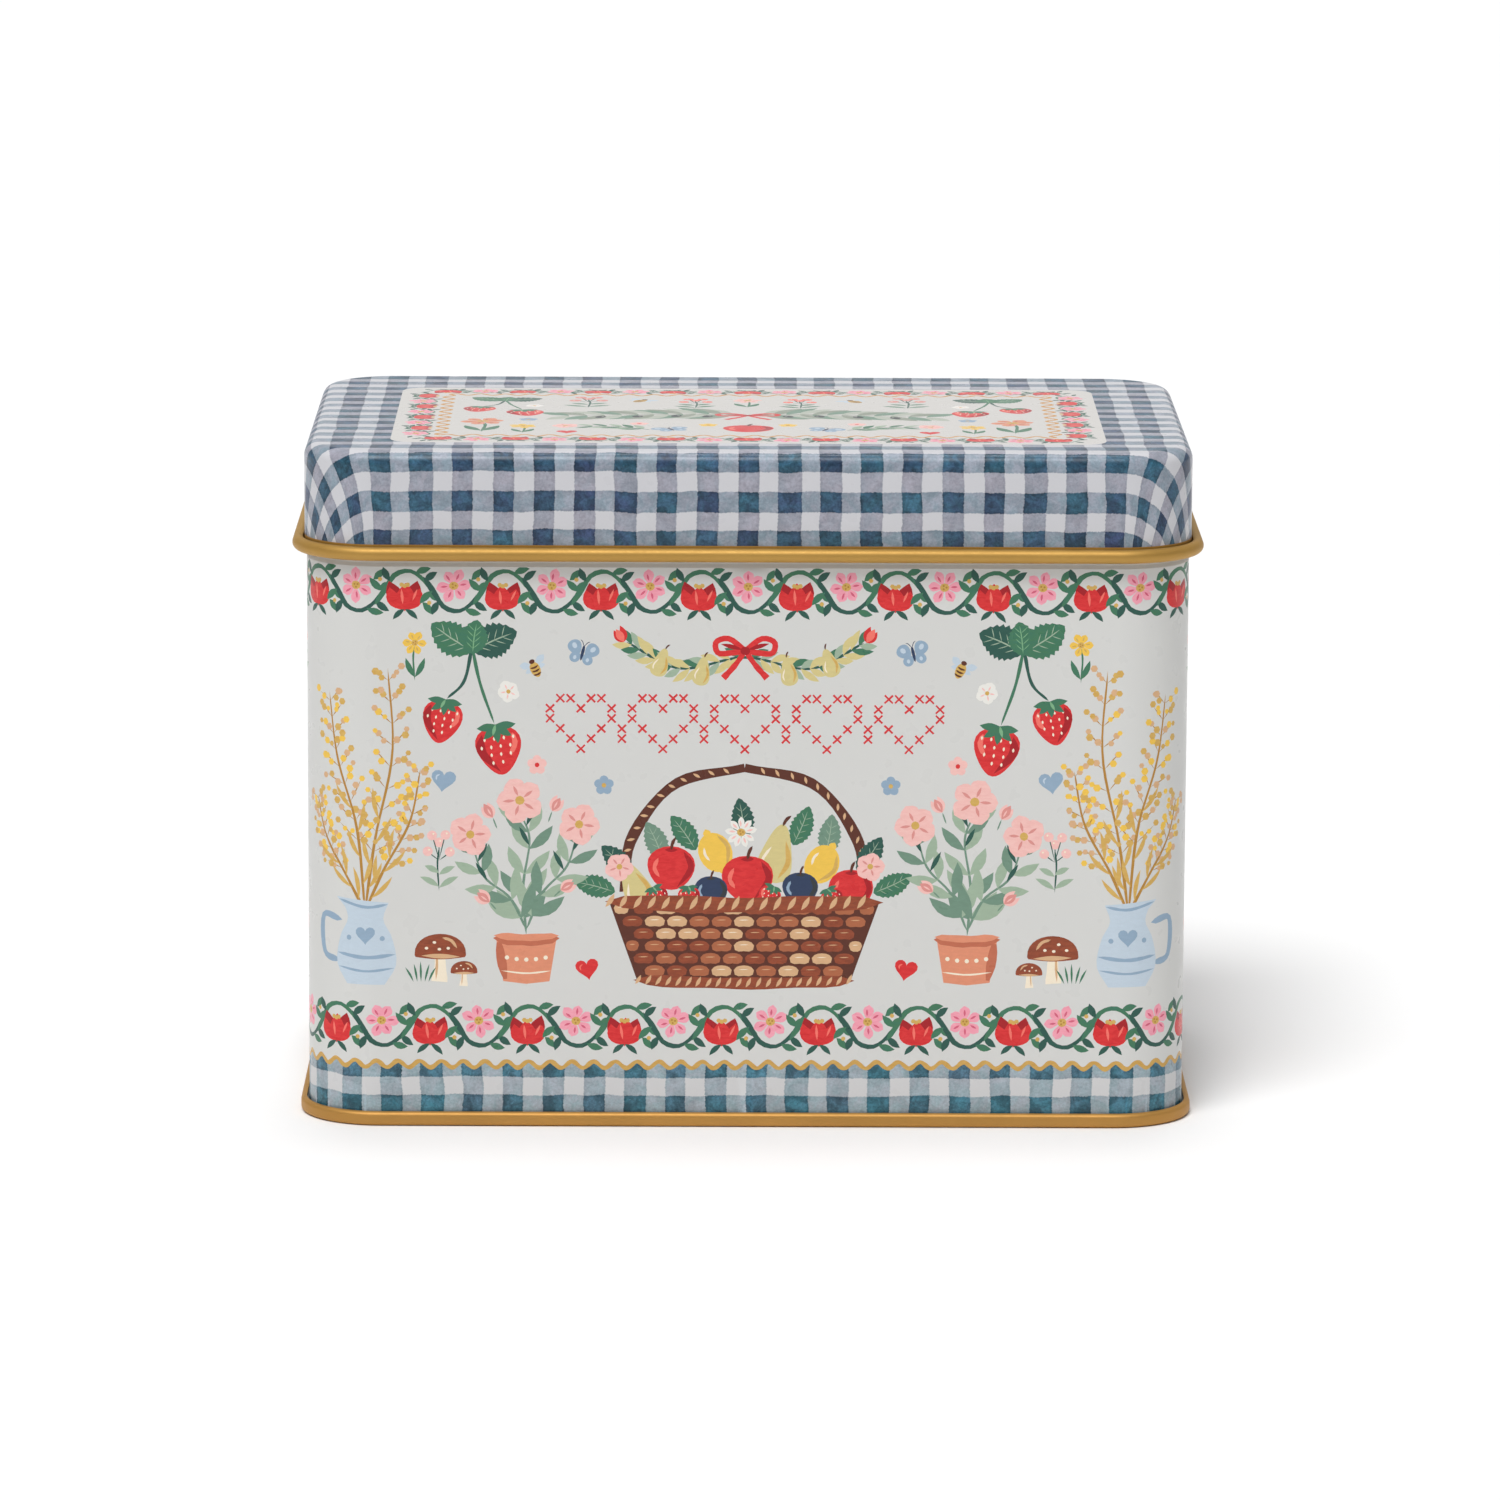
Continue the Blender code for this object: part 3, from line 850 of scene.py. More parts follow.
def strawberry_sprig(p):
    """Three leaves over two berries, about 27 high."""
    p.stroke("green", [(0.5, 13), (-1.0, 6), (-3.6, -1.5)], 0.7, 0.45)
    p.stroke("green_deep", [(0.5, 13), (2.0, 6.5), (5.2, 3.2)], 0.7, 0.45)
    broad_leaf(p, 0.4, 12.2, 150, 9.0, 6.2, "green_deep", "sage")
    broad_leaf(p, 0.4, 12.2, 28, 9.2, 6.0, "green", "sage")
    broad_leaf(p, 0.4, 11.6, 92, 6.5, 5.0, "green", "leaf_light")
    strawberry(p.at(-3.8, -1.6, turn=-8), 9.4)
    strawberry(p.at(5.4, 3.1, turn=10), 8.2)
    blossom(p, -6.2, 4.6, 2.1, "white", "dusty")


def apple(p, r, colour="red", shade="red_deep", shine="coral"):
    p.egg(colour, 0, 0, 2.06 * r, 1.92 * r, 0.12, n=22, shake=0.03)
    p.fill(shade, ribbon(curve([(0.55 * r, 0.72 * r), (0.86 * r, 0.0),
                                (0.25 * r, -0.86 * r)], 10),
                         np.array([0, .5, .8, 1, 1, 1, .9, .7, .4, 0])
                         * 0.13 * r))
    p.stroke(shine, [(-0.55 * r, 0.45 * r), (-0.72 * r, 0.0),
                     (-0.5 * r, -0.4 * r)], 0.17 * r, n=8)
    p.leaf(shade, -0.28 * r, 0.80 * r, 0, 0.58 * r, 0.2 * r, n=5)
    p.stroke("brown_deep", [(0, 0.78 * r), (0.06 * r, 1.1 * r),
                            (0.2 * r, 1.36 * r)], 0.14 * r, n=6)


def lemon(p, r, turn=0.0):
    q = p.at(0, 0, turn=turn)
    q.egg("yellow", 0, 0, 2.0 * r, 2.5 * r, 0.0, n=20, shake=0.03)
    q.leaf("yellow", 0, 1.0 * r, 90, 0.55 * r, 0.5 * r, n=5)
    q.leaf("yellow", 0, -1.0 * r, 270, 0.45 * r, 0.5 * r, n=5)
    q.fill("ochre", ribbon(curve([(0.5 * r, 0.95 * r), (0.82 * r, 0.0),
                                  (0.3 * r, -1.05 * r)], 9),
                           np.array([0, .6, .9, 1, 1, 1, .9, .5, 0])
                           * 0.12 * r))
    q.stroke("cream", [(-0.5 * r, 0.55 * r), (-0.62 * r, 0.1 * r),
                       (-0.5 * r, -0.35 * r)], 0.16 * r, n=6)


def pear(p, r):
    t = np.linspace(0, 2 * pi, 26, endpoint=False)
    px = r * np.sin(t) * (0.80 - 0.36 * np.cos(t) + 0.10 * np.cos(2 * t))
    p.fill("olive", np.stack([px * 1.05, 1.45 * r * np.cos(t)], 1), 0.02)
    p.fill("ochre", ribbon(curve([(0.30 * r, 0.7 * r), (0.62 * r, -0.3 * r),
                                  (0.30 * r, -1.2 * r)], 9),
                           np.array([0, .5, .9, 1, 1, 1, .8, .5, 0])
                           * 0.12 * r))
    p.stroke("cream", [(-0.3 * r, 0.3 * r), (-0.6 * r, -0.4 * r),
                       (-0.5 * r, -0.9 * r)], 0.14 * r, n=6)
    p.stroke("brown_deep", [(0, 1.35 * r), (0.1 * r, 1.7 * r),
                            (0.3 * r, 1.95 * r)], 0.16 * r, n=6)


def mushroom(p, h, cap="brown", under="tan"):
    p.fill("cream", ribbon(curve([(0.02 * h, -0.45 * h), (0, -0.1 * h),
                                  (0.02 * h, 0.15 * h)], 8),
                           np.array([1.25, 1.2, 1.0, .9, .85, .82, .8, .8])
                           * 0.13 * h))
    p.stroke("tan", [(0.09 * h, -0.42 * h), (0.07 * h, -0.1 * h),
                     (0.07 * h, 0.1 * h)], 0.05 * h, n=6)
    t = np.linspace(0, pi, 15)
    top = [(0.52 * h * cos(a), 0.10 * h + 0.44 * h * sin(a) ** 0.85)
           for a in t]
    low = [(x, 0.06 * h - 0.05 * h * cos(x / (0.52 * h) * pi / 2))
           for x in np.linspace(-0.50 * h, 0.50 * h, 8)]
    p.fill(cap, top + low, 0.015)
    p.leaf(under, -0.40 * h, 0.065 * h, 0, 0.80 * h, 0.10 * h, n=7)
    p.stroke("tan", [(-0.34 * h, 0.24 * h), (-0.22 * h, 0.40 * h),
                     (-0.04 * h, 0.46 * h)], 0.06 * h, n=7)
    for x, z in ((0.12, 0.36), (0.28, 0.24), (0.02, 0.22), (-0.16, 0.24)):
        p.oval("cream", x * h, z * h, 0.038 * h, 0.03 * h, n=7)


def grass(p, colour="green", n=5, h=4.0):
    for i in range(n):
        x = (i - (n - 1) / 2) * 0.7
        p.leaf(colour, x, 0, 90 - x * 14, h * (1 - 0.12 * abs(i - n // 2)),
               0.42, bend=-x * 10, n=5)


def radish(p, h):
    for a, w in ((60, 1.3), (90, 1.5), (122, 1.3)):
        broad_leaf(p, 0, 0.42 * h, a, 0.62 * h, w * 0.19 * h,
                   "green" if a != 90 else "green_deep", "sage")
    p.egg("red", 0, 0.12 * h, 0.72 * h, 0.74 * h, 0.16, n=20)
    p.leaf("cream", 0, -0.10 * h, 270, 0.56 * h, 0.15 * h, bend=14,
           belly=0.3)
    p.stroke("coral", [(-0.20 * h, 0.32 * h), (-0.27 * h, 0.14 * h),
                       (-0.2 * h, -0.02 * h)], 0.07 * h, n=6)


def crosses(p, cells, pitch, colour="stitch", width=0.36):
    """Cross-stitches at whole-number cells."""
    for i, j in cells:
        x, y = i * pitch, j * pitch
        r = pitch * 0.40
        for k in (1, -1):
            a = p.rng.uniform(-0.06, 0.06)
            p.stroke(colour, [(x - r * (1 + a), y - k * r),
                              (x + a * r, y),
                              (x + r, y + k * r * (1 - a))], width,
                     n=4, tips=False)


def sampler(p, pitch, hearts):
    """A cross-stitch row of hearts."""
    cells = []
    for n in range(hearts):
        cx = (n - (hearts - 1) // 2) * 8
        for i in range(-3, 4):
            k = abs(i)
            cells += [(cx + i, j) for j in range(-3, 3)
                      if (j == 2 and k in (1, 2)) or (j == 1 and k in (0, 3))
                      or (j == 0 and k == 3) or (j < 0 and k == j + 3)]
        if n < hearts - 1:
            cells += [(cx + 4, -2), (cx + 4, -1)]
    crosses(p, cells, pitch)


def leafy(p, control, leaves, length, width, colours, stem, stem_width=0.6,
          n=20, spread=48):
    """A stem with leaves in pairs."""
    p.stroke(stem, control, stem_width, stem_width * 0.6, n=n)
    line = curve(control, 60)
    for k in range(leaves):
        f = 0.12 + 0.80 * k / max(leaves - 1, 1)
        i = min(int(f * 59), 57)
        d = math.degrees(math.atan2(*(line[i + 1] - line[i])[::-1]))
        for side in (1, -1):
            c = colours[(k + (side > 0)) % len(colours)]
            p.leaf(c, line[i][0], line[i][1], d + side * spread,
                   length * (1.05 - 0.35 * f), width * (1.05 - 0.3 * f),
                   bend=-side * 26)
    return line


def bow(p, colour, shade, size):
    for side in (1, -1):
        p.fill(colour, ribbon(curve([(0, 0), (side * 0.55 * size, 0.42 * size),
                                     (side * 1.0 * size, 0.30 * size),
                                     (side * 0.92 * size, -0.08 * size),
                                     (side * 0.4 * size, -0.06 * size),
                                     (0, 0)], 20),
                              np.full(20, 0.10 * size)))
        p.leaf(shade, side * 0.1 * size, 0.04 * size, 90 - side * 70,
               0.72 * size, 0.16 * size, bend=-side * 6)
        p.stroke(colour, [(0, 0), (side * 0.35 * size, -0.5 * size),
                          (side * 0.75 * size, -0.95 * size)], 0.16 * size,
                 0.22 * size, n=10, tips=False)
    p.oval(shade, 0, 0, 0.17 * size, 0.15 * size, n=10)


def basket(p):
    """A woven fruit basket, 54 wide and 41 high, standing on y = 0."""
    for side in (1, -1):
        p.stroke("brown_deep", [(side * 22.0, 17), (side * 21.0, 27),
                                (side * 13.0, 37.4), (0, 40.6)], 2.2,
                 1.7, n=20, tips=False)
        for k in range(15):
            a = k / 15.0
            q = curve([(side * 22.0, 17), (side * 21.0, 27),
                       (side * 13.0, 37.4), (0, 40.6)], 61)[int(a * 58) + 1]
            d = math.degrees(math.atan2(q[1] - 14, q[0]))
            p.leaf("tan", q[0] - 0.7 * cos(radians(d + 40)),
                   q[1] - 0.7 * sin(radians(d + 40)), d + 40, 1.5, 0.55, n=5)
    # leaves and fruit above the rim
    for x, y, a, c in ((-24, 17, 160, "green"), (-21, 20, 128, "green_deep"),
                       (24, 17, 20, "green"), (21, 21, 50, "green_deep"),
                       (-9, 25, 120, "green"), (9, 26, 62, "green"),
                       (0, 27, 92, "green_deep"), (-15, 23, 108, "sage_deep"),
                       (15, 24, 75, "sage_deep")):
        broad_leaf(p, x, y, a, 8.0, 4.0, c, "sage")
    lemon(p.at(-5.4, 24.6), 3.1, 24)
    lemon(p.at(14.4, 22.4), 3.1, -30)
    pear(p.at(6.0, 24.4, turn=-12), 3.9)
    apple(p.at(-13.6, 21.6), 4.3)
    apple(p.at(0.6, 19.6), 4.6)
    pear(p.at(-20.2, 18.2, turn=24), 3.3)
    apple(p.at(19.8, 17.6), 4.0)
    apple(p.at(10.4, 17.8), 3.2, "navy", "charcoal", "blue")
    apple(p.at(-6.2, 17.2), 3.0, "navy", "charcoal", "blue")
    for x, y in ((-17.0, 15.4), (5.6, 15.6), (15.4, 15.2), (-10.4, 15.6)):
        strawberry(p.at(x, y + 2.6, turn=p.rng.uniform(-30, 30)), 4.6)
    daisy(p, -0.6, 28.4, 3.0, 9, "white", "dusty")
    blossom(p, -23.2, 21.8, 2.8, "dusty", "dusty_deep")
    blossom(p, 23.4, 22.0, 2.8, "dusty", "dusty_deep")

    # the weave
    def width_at(y):
        return 19.4 + 5.6 * (y / 15.0) ** 0.8

    rows, high = 6, 2.35
    p.fill("brown_deep", [(-width_at(0.3) - 0.3, 0.4), (0, -0.2),
                          (width_at(0.3) + 0.3, 0.4),
                          (width_at(15) + 0.2, 15.4),
                          (-width_at(15) - 0.2, 15.4)])
    for r in range(rows):
        y0 = 0.75 + r * high
        w = width_at(y0 + high / 2) - 0.5
        pitch = 4.15
        k = int(w // pitch) + 1
        for i in range(-k, k + 1):
            cx = (i + (0.5 if r % 2 else 0.0)) * pitch
            half = min(pitch * 0.43, w - abs(cx))
            if half < 0.5:
                continue
            c = ("brown", "tan", "brown_light")[(i * 2 + r * 3
                                                 + int(p.rng.randint(2))) % 3]
            line = [(cx - half, y0 + high * 0.46),
                    (cx, y0 + high * 0.60), (cx + half, y0 + high * 0.46)]
            p.fill(c, ribbon(curve(line, 7), np.array(
                [.45, .9, 1, 1, 1, .9, .45]) * high * 0.42), 0.0)
            p.stroke("cream" if c == "tan" else "tan",
                     [(cx - half * 0.55, y0 + high * 0.68),
                      (cx + half * 0.5, y0 + high * 0.70)], 0.16, n=4)
    # braided rim and foot
    for y, w, big in ((15.4, 25.9, 1.0), (0.5, 20.6, 0.72)):
        p.stroke("brown", [(-w, y - 0.2), (0, y - 0.8), (w, y - 0.2)],
                 3.0 * big, n=16)
        for k in range(int(w / 1.3 / big)):
            x = -w + 1.0 + k * 2.6 * big
            if x < w - 0.8:
                yy = y - 0.2 - 0.6 * (1 - (x / w) ** 2)
                p.leaf("tan", x - 0.9 * big, yy - 1.0 * big, 50,
                       3.0 * big, 0.95 * big, bend=20)


def blossom_pot(p, h=39.0):
    """A flowering shrub in a pot, standing on y = 0."""
    stems = [[(0, 9), (0.6, 18), (-0.6, 27), (1.0, h - 7)],
             [(0, 10), (-3.0, 17), (-7.5, 22), (-9.4, h - 11)],
             [(0, 10), (3.0, 16), (7.8, 20), (10.0, h - 13)]]
    for i, s in enumerate(stems):
        leafy(p, s, 6 if i == 0 else 5, 7.2, 2.3,
              ["sage", "sage_deep", "sage"], "sage_deep", 0.55, spread=52)
        for k in (0, 1):
            f = curve(s, 30)[18 + 6 * k]
            p.leaf("green_deep", f[0], f[1], 90 + (25 if k else -30), 4.2,
                   0.9)
    for x, y, r in ((1.2, h - 4.5, 4.4), (-9.8, h - 9.0, 4.0),
                    (10.4, h - 11.0, 4.0)):
        blossom(p, x, y, r, "dusty", "dusty_deep", "ochre")
    for x, y, a in ((-4.8, h - 6.5, 120), (6.2, h - 7.8, 58),
                    (-6.4, 17.5, 150), (6.8, 15.2, 35)):
        p.stroke("sage_deep", [(x - 1.5 * cos(radians(a)),
                                y - 2.5 * sin(radians(a))),
                               (x, y)], 0.3, n=5)
        tulip(p, x, y, a, 3.1, "dusty", "dusty_deep", "dusty")
    p.fill("clay", [(-4.3, 0.2), (0, -0.3), (4.3, 0.2), (5.6, 8.2),
                    (-5.6, 8.2)], 0.01)
    p.fill("clay_deep", ribbon(curve([(3.9, 0.6), (4.6, 4), (5.1, 7.6)], 6),
                               np.array([.3, .6, .8, .8, .7, .4]) * 1.1))
    p.stroke("clay_deep", [(-6.2, 8.4), (0, 8.0), (6.2, 8.4)], 2.1, n=10)
    p.stroke("clay", [(-6.1, 8.9), (0, 8.5), (6.1, 8.9)], 1.3, n=10)
    for k in range(5):
        p.oval("cream", -3.6 + 1.8 * k, 4.3 + 0.25 * (k - 2) ** 2 * 0.4,
               0.42, n=8)
    p.stroke("cream", [(-4.7, 2.2), (0, 1.7), (4.7, 2.2)], 0.32, n=8)


def mimosa_jug(p):
    """Tall yellow sprigs in a jug, standing on y = 0, about 66 high."""
    sprigs = [[(0, 14), (-2, 28), (-5.2, 44), (-4.4, 60)],
              [(0, 14), (1.6, 30), (5.6, 43), (7.4, 55)],
              [(0, 14), (-3.6, 22), (-8.4, 31), (-10.4, 41)],
              [(0, 14), (4.0, 21), (8.6, 28), (11.0, 35)]]
    for n, s in enumerate(sprigs):
        p.stroke("ochre_deep", s, 0.6, 0.32, n=20)
        line = curve(s, 60)
        start = 16 if n < 2 else 22
        for i in range(start, 59, 5):
            d = math.degrees(math.atan2(*(line[i] - line[i - 1])[::-1]))
            for side in (1, -1):
                a = d + side * p.rng.uniform(38, 56)
                L = (5.4 if n < 2 else 4.2) * (1.15 - 0.6 * i / 60.0)
                x, y = line[i]
                tip = (x + L * cos(radians(a)), y + L * sin(radians(a)))
                p.stroke("ochre_deep", [(x, y), tip], 0.22, n=4)
                for f in (0.46, 0.76, 1.04):
                    off = p.rng.uniform(-0.5, 0.5, 2)
                    p.oval(("ochre", "yellow", "tan")[p.rng.randint(3)],
                           x + (tip[0] - x) * f + off[0],
                           y + (tip[1] - y) * f + off[1],
                           p.rng.uniform(0.50, 0.78), n=6, shake=0.0)
        for i in range(6, 30, 6):
            d = math.degrees(math.atan2(*(line[i] - line[i - 1])[::-1]))
            side = 1 if (i // 6) % 2 else -1
            p.leaf("ochre", line[i][0], line[i][1], d + side * 34, 6.0, 0.9,
                   bend=-side * 25)
    # jug
    p.stroke("blue", [(4.6, 12.0), (9.2, 12.4), (9.0, 5.6), (5.2, 4.2)], 1.2,
             n=16)
    body = curve([(-3.6, 0), (-5.8, 4.0), (-5.0, 9.0), (-3.4, 12.4),
                  (-4.4, 15.6)], 14)
    right = [(-x, y) for x, y in body[::-1]]
    right[0] = (5.8, 16.4)
    p.fill("pale_blue", list(body) + right, 0.0)
    p.stroke("blue", [(-5.7, 5.8), (0, 5.1), (5.7, 5.8)], 0.7, n=10)
    p.stroke("blue", [(-5.5, 3.2), (0, 2.5), (5.5, 3.2)], 0.45, n=10)
    p.stroke("blue", [(-4.3, 15.3), (0, 14.7), (5.4, 16.0)], 0.55, n=10)
    heart(p.at(0, 9.2), "blue", 3.4)
    for k in (-3.2, 3.2):
        p.oval("blue", k, 8.8, 0.5, n=8)


def sprig(p, flower, vein, leaf="green", h=8.5):
    """One small flower on a leafy stalk."""
    p.stroke(leaf, [(0, -h * 0.5), (0.3, 0), (0, h * 0.28)], 0.34, n=8)
    for side in (1, -1):
        p.leaf(leaf, 0, -h * 0.42, 90 - side * 38, h * 0.46, h * 0.13,
               bend=side * 22)
    daisy(p, 0, h * 0.34, h * 0.27, 6, flower, vein)


def berry_sprig(p, berry, leaf, shade):
    p.stroke(shade, [(0, -5), (0.3, 0), (0, 3.2)], 0.32, n=8)
    for side, y, L in ((1, -4.2, 4.2), (-1, -4.4, 4.2), (1, -1.6, 3.2),
                       (-1, -1.9, 3.2)):
        p.leaf(leaf, 0, y, 90 - side * 52, L, 1.15, bend=-side * 20)
    for x, y in ((0, 4.2), (-2.0, 2.4), (2.1, 2.5), (-1.2, 5.6), (1.3, 5.5)):
        p.stroke(shade, [(0, 0.8), (x * 0.6, y * 0.7), (x, y)], 0.2, n=5)
        p.oval(berry, x, y, 0.95, n=10)
        p.oval("cream", x - 0.25, y + 0.3, 0.2, n=5)


def garland(p, half=22.0):
    """A swag of leaves and pears under a bow."""
    line = [(-half, 3.0), (-half * 0.55, -1.9), (0, 0.2), (half * 0.55, -1.9),
            (half, 3.0)]
    path = curve(line, 80)
    p.stroke("green_deep", line, 0.5, n=40)
    for i in range(2, 78, 3):
        d = math.degrees(math.atan2(*(path[i + 1] - path[i])[::-1]))
        away = 180 if path[i][0] < 0 else 0
        for side in (1, -1):
            p.leaf(("olive", "sage", "green", "olive")[(i + (side > 0)) % 4],
                   path[i][0], path[i][1], d + away + side * 42,
                   p.rng.uniform(3.2, 4.2), 1.35, bend=-side * 20)
    for x in (-15.6, -8.0, 8.0, 15.6):
        y = -2.4 if abs(x) < 10 else -0.8
        pear(p.at(x, y, turn=x * 1.2), 1.9)
    for x in (-half - 0.4, half + 0.4):
        tulip(p, x, 3.0, 90 + (30 if x < 0 else -30), 3.0, "red", "coral")
    bow(p.at(0, 1.4), "red", "red_deep", 5.4)


def vine(art, z, lo, hi, phase, seed):
    """A running vine that curls round tulips and daisies by turns."""
    count = 28
    period = PERIMETER / count
    for k in range(count + 1):
        s0 = -HALF + (k - 0.5) * period + phase
        if s0 + period < lo or s0 - period > hi:
            continue
        p = Pen(art, s0, z, seed=seed + k)
        for half_turn in (0, 1):
            up = 1 if half_turn == 0 else -1
            cx = half_turn * period / 2
            q = Pen(art, s0 + cx, z, seed=seed * 3 + 2 * k + half_turn)
            w = period / 2
            # the stem, laid down in two brush strokes
            q.stroke("green_deep" if half_turn else "green",
                     [(-0.62 * w, -up * 2.7), (-0.40 * w, up * 0.3),
                      (-0.20 * w, up * 3.0), (0.10 * w, up * 3.75),
                      (0.36 * w, up * 2.3), (0.52 * w, up * 0.1)],
                     1.15, 0.55, n=14)
            for x, y, a, L, c in (
                    (-0.43, 0.0, 148, 3.0, "green"),
                    (-0.30, 1.9, 128, 2.6, "green_deep"),
                    (0.22, 3.3, 28, 2.7, "green"),
                    (0.40, 1.7, 52, 2.8, "green_deep"),
                    (0.47, -0.6, -12, 2.3, "green"),
                    (0.36, -2.1, -38, 2.4, "green")):
                q.leaf(c, x * w, up * y, up * a, L * 1.16, 1.35,
                       bend=up * -24)
            if half_turn == 0:
                tulip_flower(q, 0.0, -1.15, 3.4)
            else:
                daisy(q, 0.0, 1.0, 3.25, 6, "pink", "pink_deep")
            q.oval("ochre", 0.5 * w, up * -2.2, 0.42, n=7)


def tulip_flower(p, x, y, r):
    """An open tulip seen from the side, with a ruffled rim."""
    for a in (54, 126):
        p.leaf("red_deep", x, y - 0.72 * r, a, 1.75 * r, 0.86 * r,
               bend=(90 - a) * 0.6, belly=0.56, n=8)
    for a in (28, 152):
        p.leaf("red", x, y - 0.70 * r, a, 1.5 * r, 0.72 * r,
               bend=(90 - a) * 0.9, belly=0.55, n=8)
    p.leaf("red", x, y - 0.78 * r, 90, 1.55 * r, 1.0 * r, belly=0.5, n=9)
    p.leaf("coral", x - 0.1 * r, y - 0.4 * r, 96, 0.85 * r, 0.16 * r, n=5)
    p.leaf("coral", x + 0.42 * r, y - 0.2 * r, 66, 0.7 * r, 0.13 * r, n=5)
    for k in (-1, 0, 1):
        p.oval("ochre", x + 0.17 * r * k, y + 0.62 * r + 0.06 * abs(k) * r,
               0.13 * r, n=6)
    p.leaf("green_deep", x, y - 0.66 * r, 205, 0.9 * r, 0.3 * r, bend=30)
    p.leaf("green_deep", x, y - 0.66 * r, -25, 0.9 * r, 0.3 * r, bend=-30)


# ------------------------------------------------------- the wall's painting
WAVE_Z, WAVE_COUNT = 11.55, 125


def wave_z(s):
    f = WAVE_COUNT * 2 * pi * s / PERIMETER
    return WAVE_Z + 0.62 * np.cos(f) + 0.05 * np.sin(3 * f / WAVE_COUNT)


def paint_wall():
    low = W_LOW - 0.5
    step = PERIMETER / WAVE_COUNT / 12
    n = WAVE_COUNT * 12
    for i in range(0, n, 12):
        s = -HALF + step * np.arange(i - 1, i + 14)
        line = np.stack([s, wave_z(s)], 1)
        ART.add("band", [(s[0], low), (s[-1], low)]
                + [tuple(q) for q in line[::-2]])
    for i in range(0, n, 12):
        s = -HALF + step * np.arange(i - 1, i + 14)
        line = np.stack([s, wave_z(s)], 1)
        wide = 0.40 * (1 + 0.12 * np.sin(s * 1.9) + 0.08 * np.sin(s * 4.7 + 1))
        ART.add("rickrack", ribbon(line, wide))
    vine(ART, 101.0, -HALF, HALF, 0.0, 11)
    vine(ART, 18.85, -HALF, HALF, 4.5, 503)

    def put(motif, s, z, *args, size=1.0, turn=0.0, flip=False, seed=None,
            **kw):
        """Paints a motif, and again across the seam where it runs over."""
        seed = int(abs(s) * 10 + z * 17) % 9973 if seed is None else seed
        for shift in (0.0, -PERIMETER, PERIMETER):
            if abs(s + shift) < HALF + 45:
                motif(Pen(ART, s + shift, z, size, turn, flip, seed), *args,
                      **kw)

    # front
    put(basket, -0.5, 27.4, seed=5)
    put(garland, -0.5, 88.6, seed=6)
    put(sampler, -0.5, 77.2, 1.90, 5, seed=7)
    for side in (1, -1):
        f = side < 0
        put(blossom_pot, side * 41.0, 27.2, flip=f)
        put(strawberry_sprig, side * 50.5, 77.6, flip=f)
        put(mimosa_jug, side * 71.0, 26.6, flip=f, size=1.0)
        put(butterfly, side * 30.6, 89.5, "blue", "pale_blue", turn=side * 14)
        put(bee, side * 39.4, 86.6, turn=-side * 25)
        put(sprig, side * 61.6, 88.4, "yellow", "ochre", flip=f)
        put(heart, side * 56.4, 65.2, "blue", 4.2, "pale_blue", turn=side * 8)
        put(berry_sprig, side * 57.2, 49.5, "dusty", "sage", "green_deep",
            flip=f)
        put(mushroom, side * 57.0, 31.4, 9.2, flip=f)
        put(mushroom, side * 52.6, 28.6, 4.8, flip=f)
        put(grass, side * 60.6, 27.2)
        put(floret, side * 26.6, 64.6, "blue", "ochre")
        put(floret, side * 39.0, 68.4, "dusty", "red")
        put(heart, side * 29.6, 29.6, "red", 4.0, "coral", turn=-side * 10)
    # ends
    for side in (1, -1):
        mid = side * SIDE_MID
        put(blossom_pot, mid, 27.0, 56.0, size=1.12)
        for k in (1, -1):
            put(strawberry_sprig, mid + k * 24.0, 76.0, flip=k < 0)
            put(mushroom, mid + k * 24.5, 32.6, 10.5, flip=k < 0)
            put(mushroom, mid + k * 30.0, 29.2, 5.2, flip=k < 0)
            put(grass, mid + k * 20.0, 27.2)
            put(butterfly, mid + k * 21.0, 55.0, "blue", "pale_blue",
                turn=-k * 18)
            put(sprig, mid + k * 35.5, 51.5, "yellow", "ochre", flip=k < 0)
            put(heart, mid + k * 33.5, 66.0, "blue", 4.0, "pale_blue")
            put(berry_sprig, mid + k * 36.5, 88.0, "dusty", "sage",
                "green_deep")
            put(bee, mid + k * 12.5, 89.0, turn=-k * 20)
            put(floret, mid + k * 37.5, 36.5, "dusty", "red")
    # back, either side of the seam
    for side in (1, -1):
        f = side < 0
        put(blossom_pot, side * (HALF - 24.0), 27.0, 44.0, flip=f)
        put(strawberry_sprig, side * (HALF - 24.0), 79.6, flip=f, size=0.74)
        put(blossom_pot, side * (HALF - 66.0), 27.0, 50.0, flip=f, size=1.05)
        put(strawberry_sprig, side * (HALF - 45.0), 75.5, flip=f, size=0.86)
        put(radish, side * (HALF - 8.0), 34.0, 11.0, flip=f)
        put(butterfly, side * (HALF - 8.5), 88.0, "blue", "pale_blue")
        put(sprig, side * (HALF - 8.0), 62.0, "yellow", "ochre", flip=f)
        put(mushroom, side * (HALF - 45.0), 32.6, 10.0, flip=f)
        put(grass, side * (HALF - 39.0), 27.2)
        put(berry_sprig, side * (HALF - 45.0), 49.5, "dusty", "sage",
            "green_deep", flip=f)
        put(heart, side * (HALF - 9.0), 49.0, "blue", 4.0, "pale_blue")
        put(floret, side * (HALF - 9.0), 75.0, "dusty", "red")
        put(bee, side * (HALF - 55.0), 89.0)
        put(floret, side * (HALF - 42.0), 61.0, "blue", "ochre")
    # the bare strip that is left for the side seam
    for side in (1, -1):
        edge = side * (HALF - 2.35)
        ART.add("seam", [(edge, low), (side * (HALF + 1), low),
                        (side * (HALF + 1), W_HIGH + 1),
                        (edge, W_HIGH + 1)])

paint_wall()


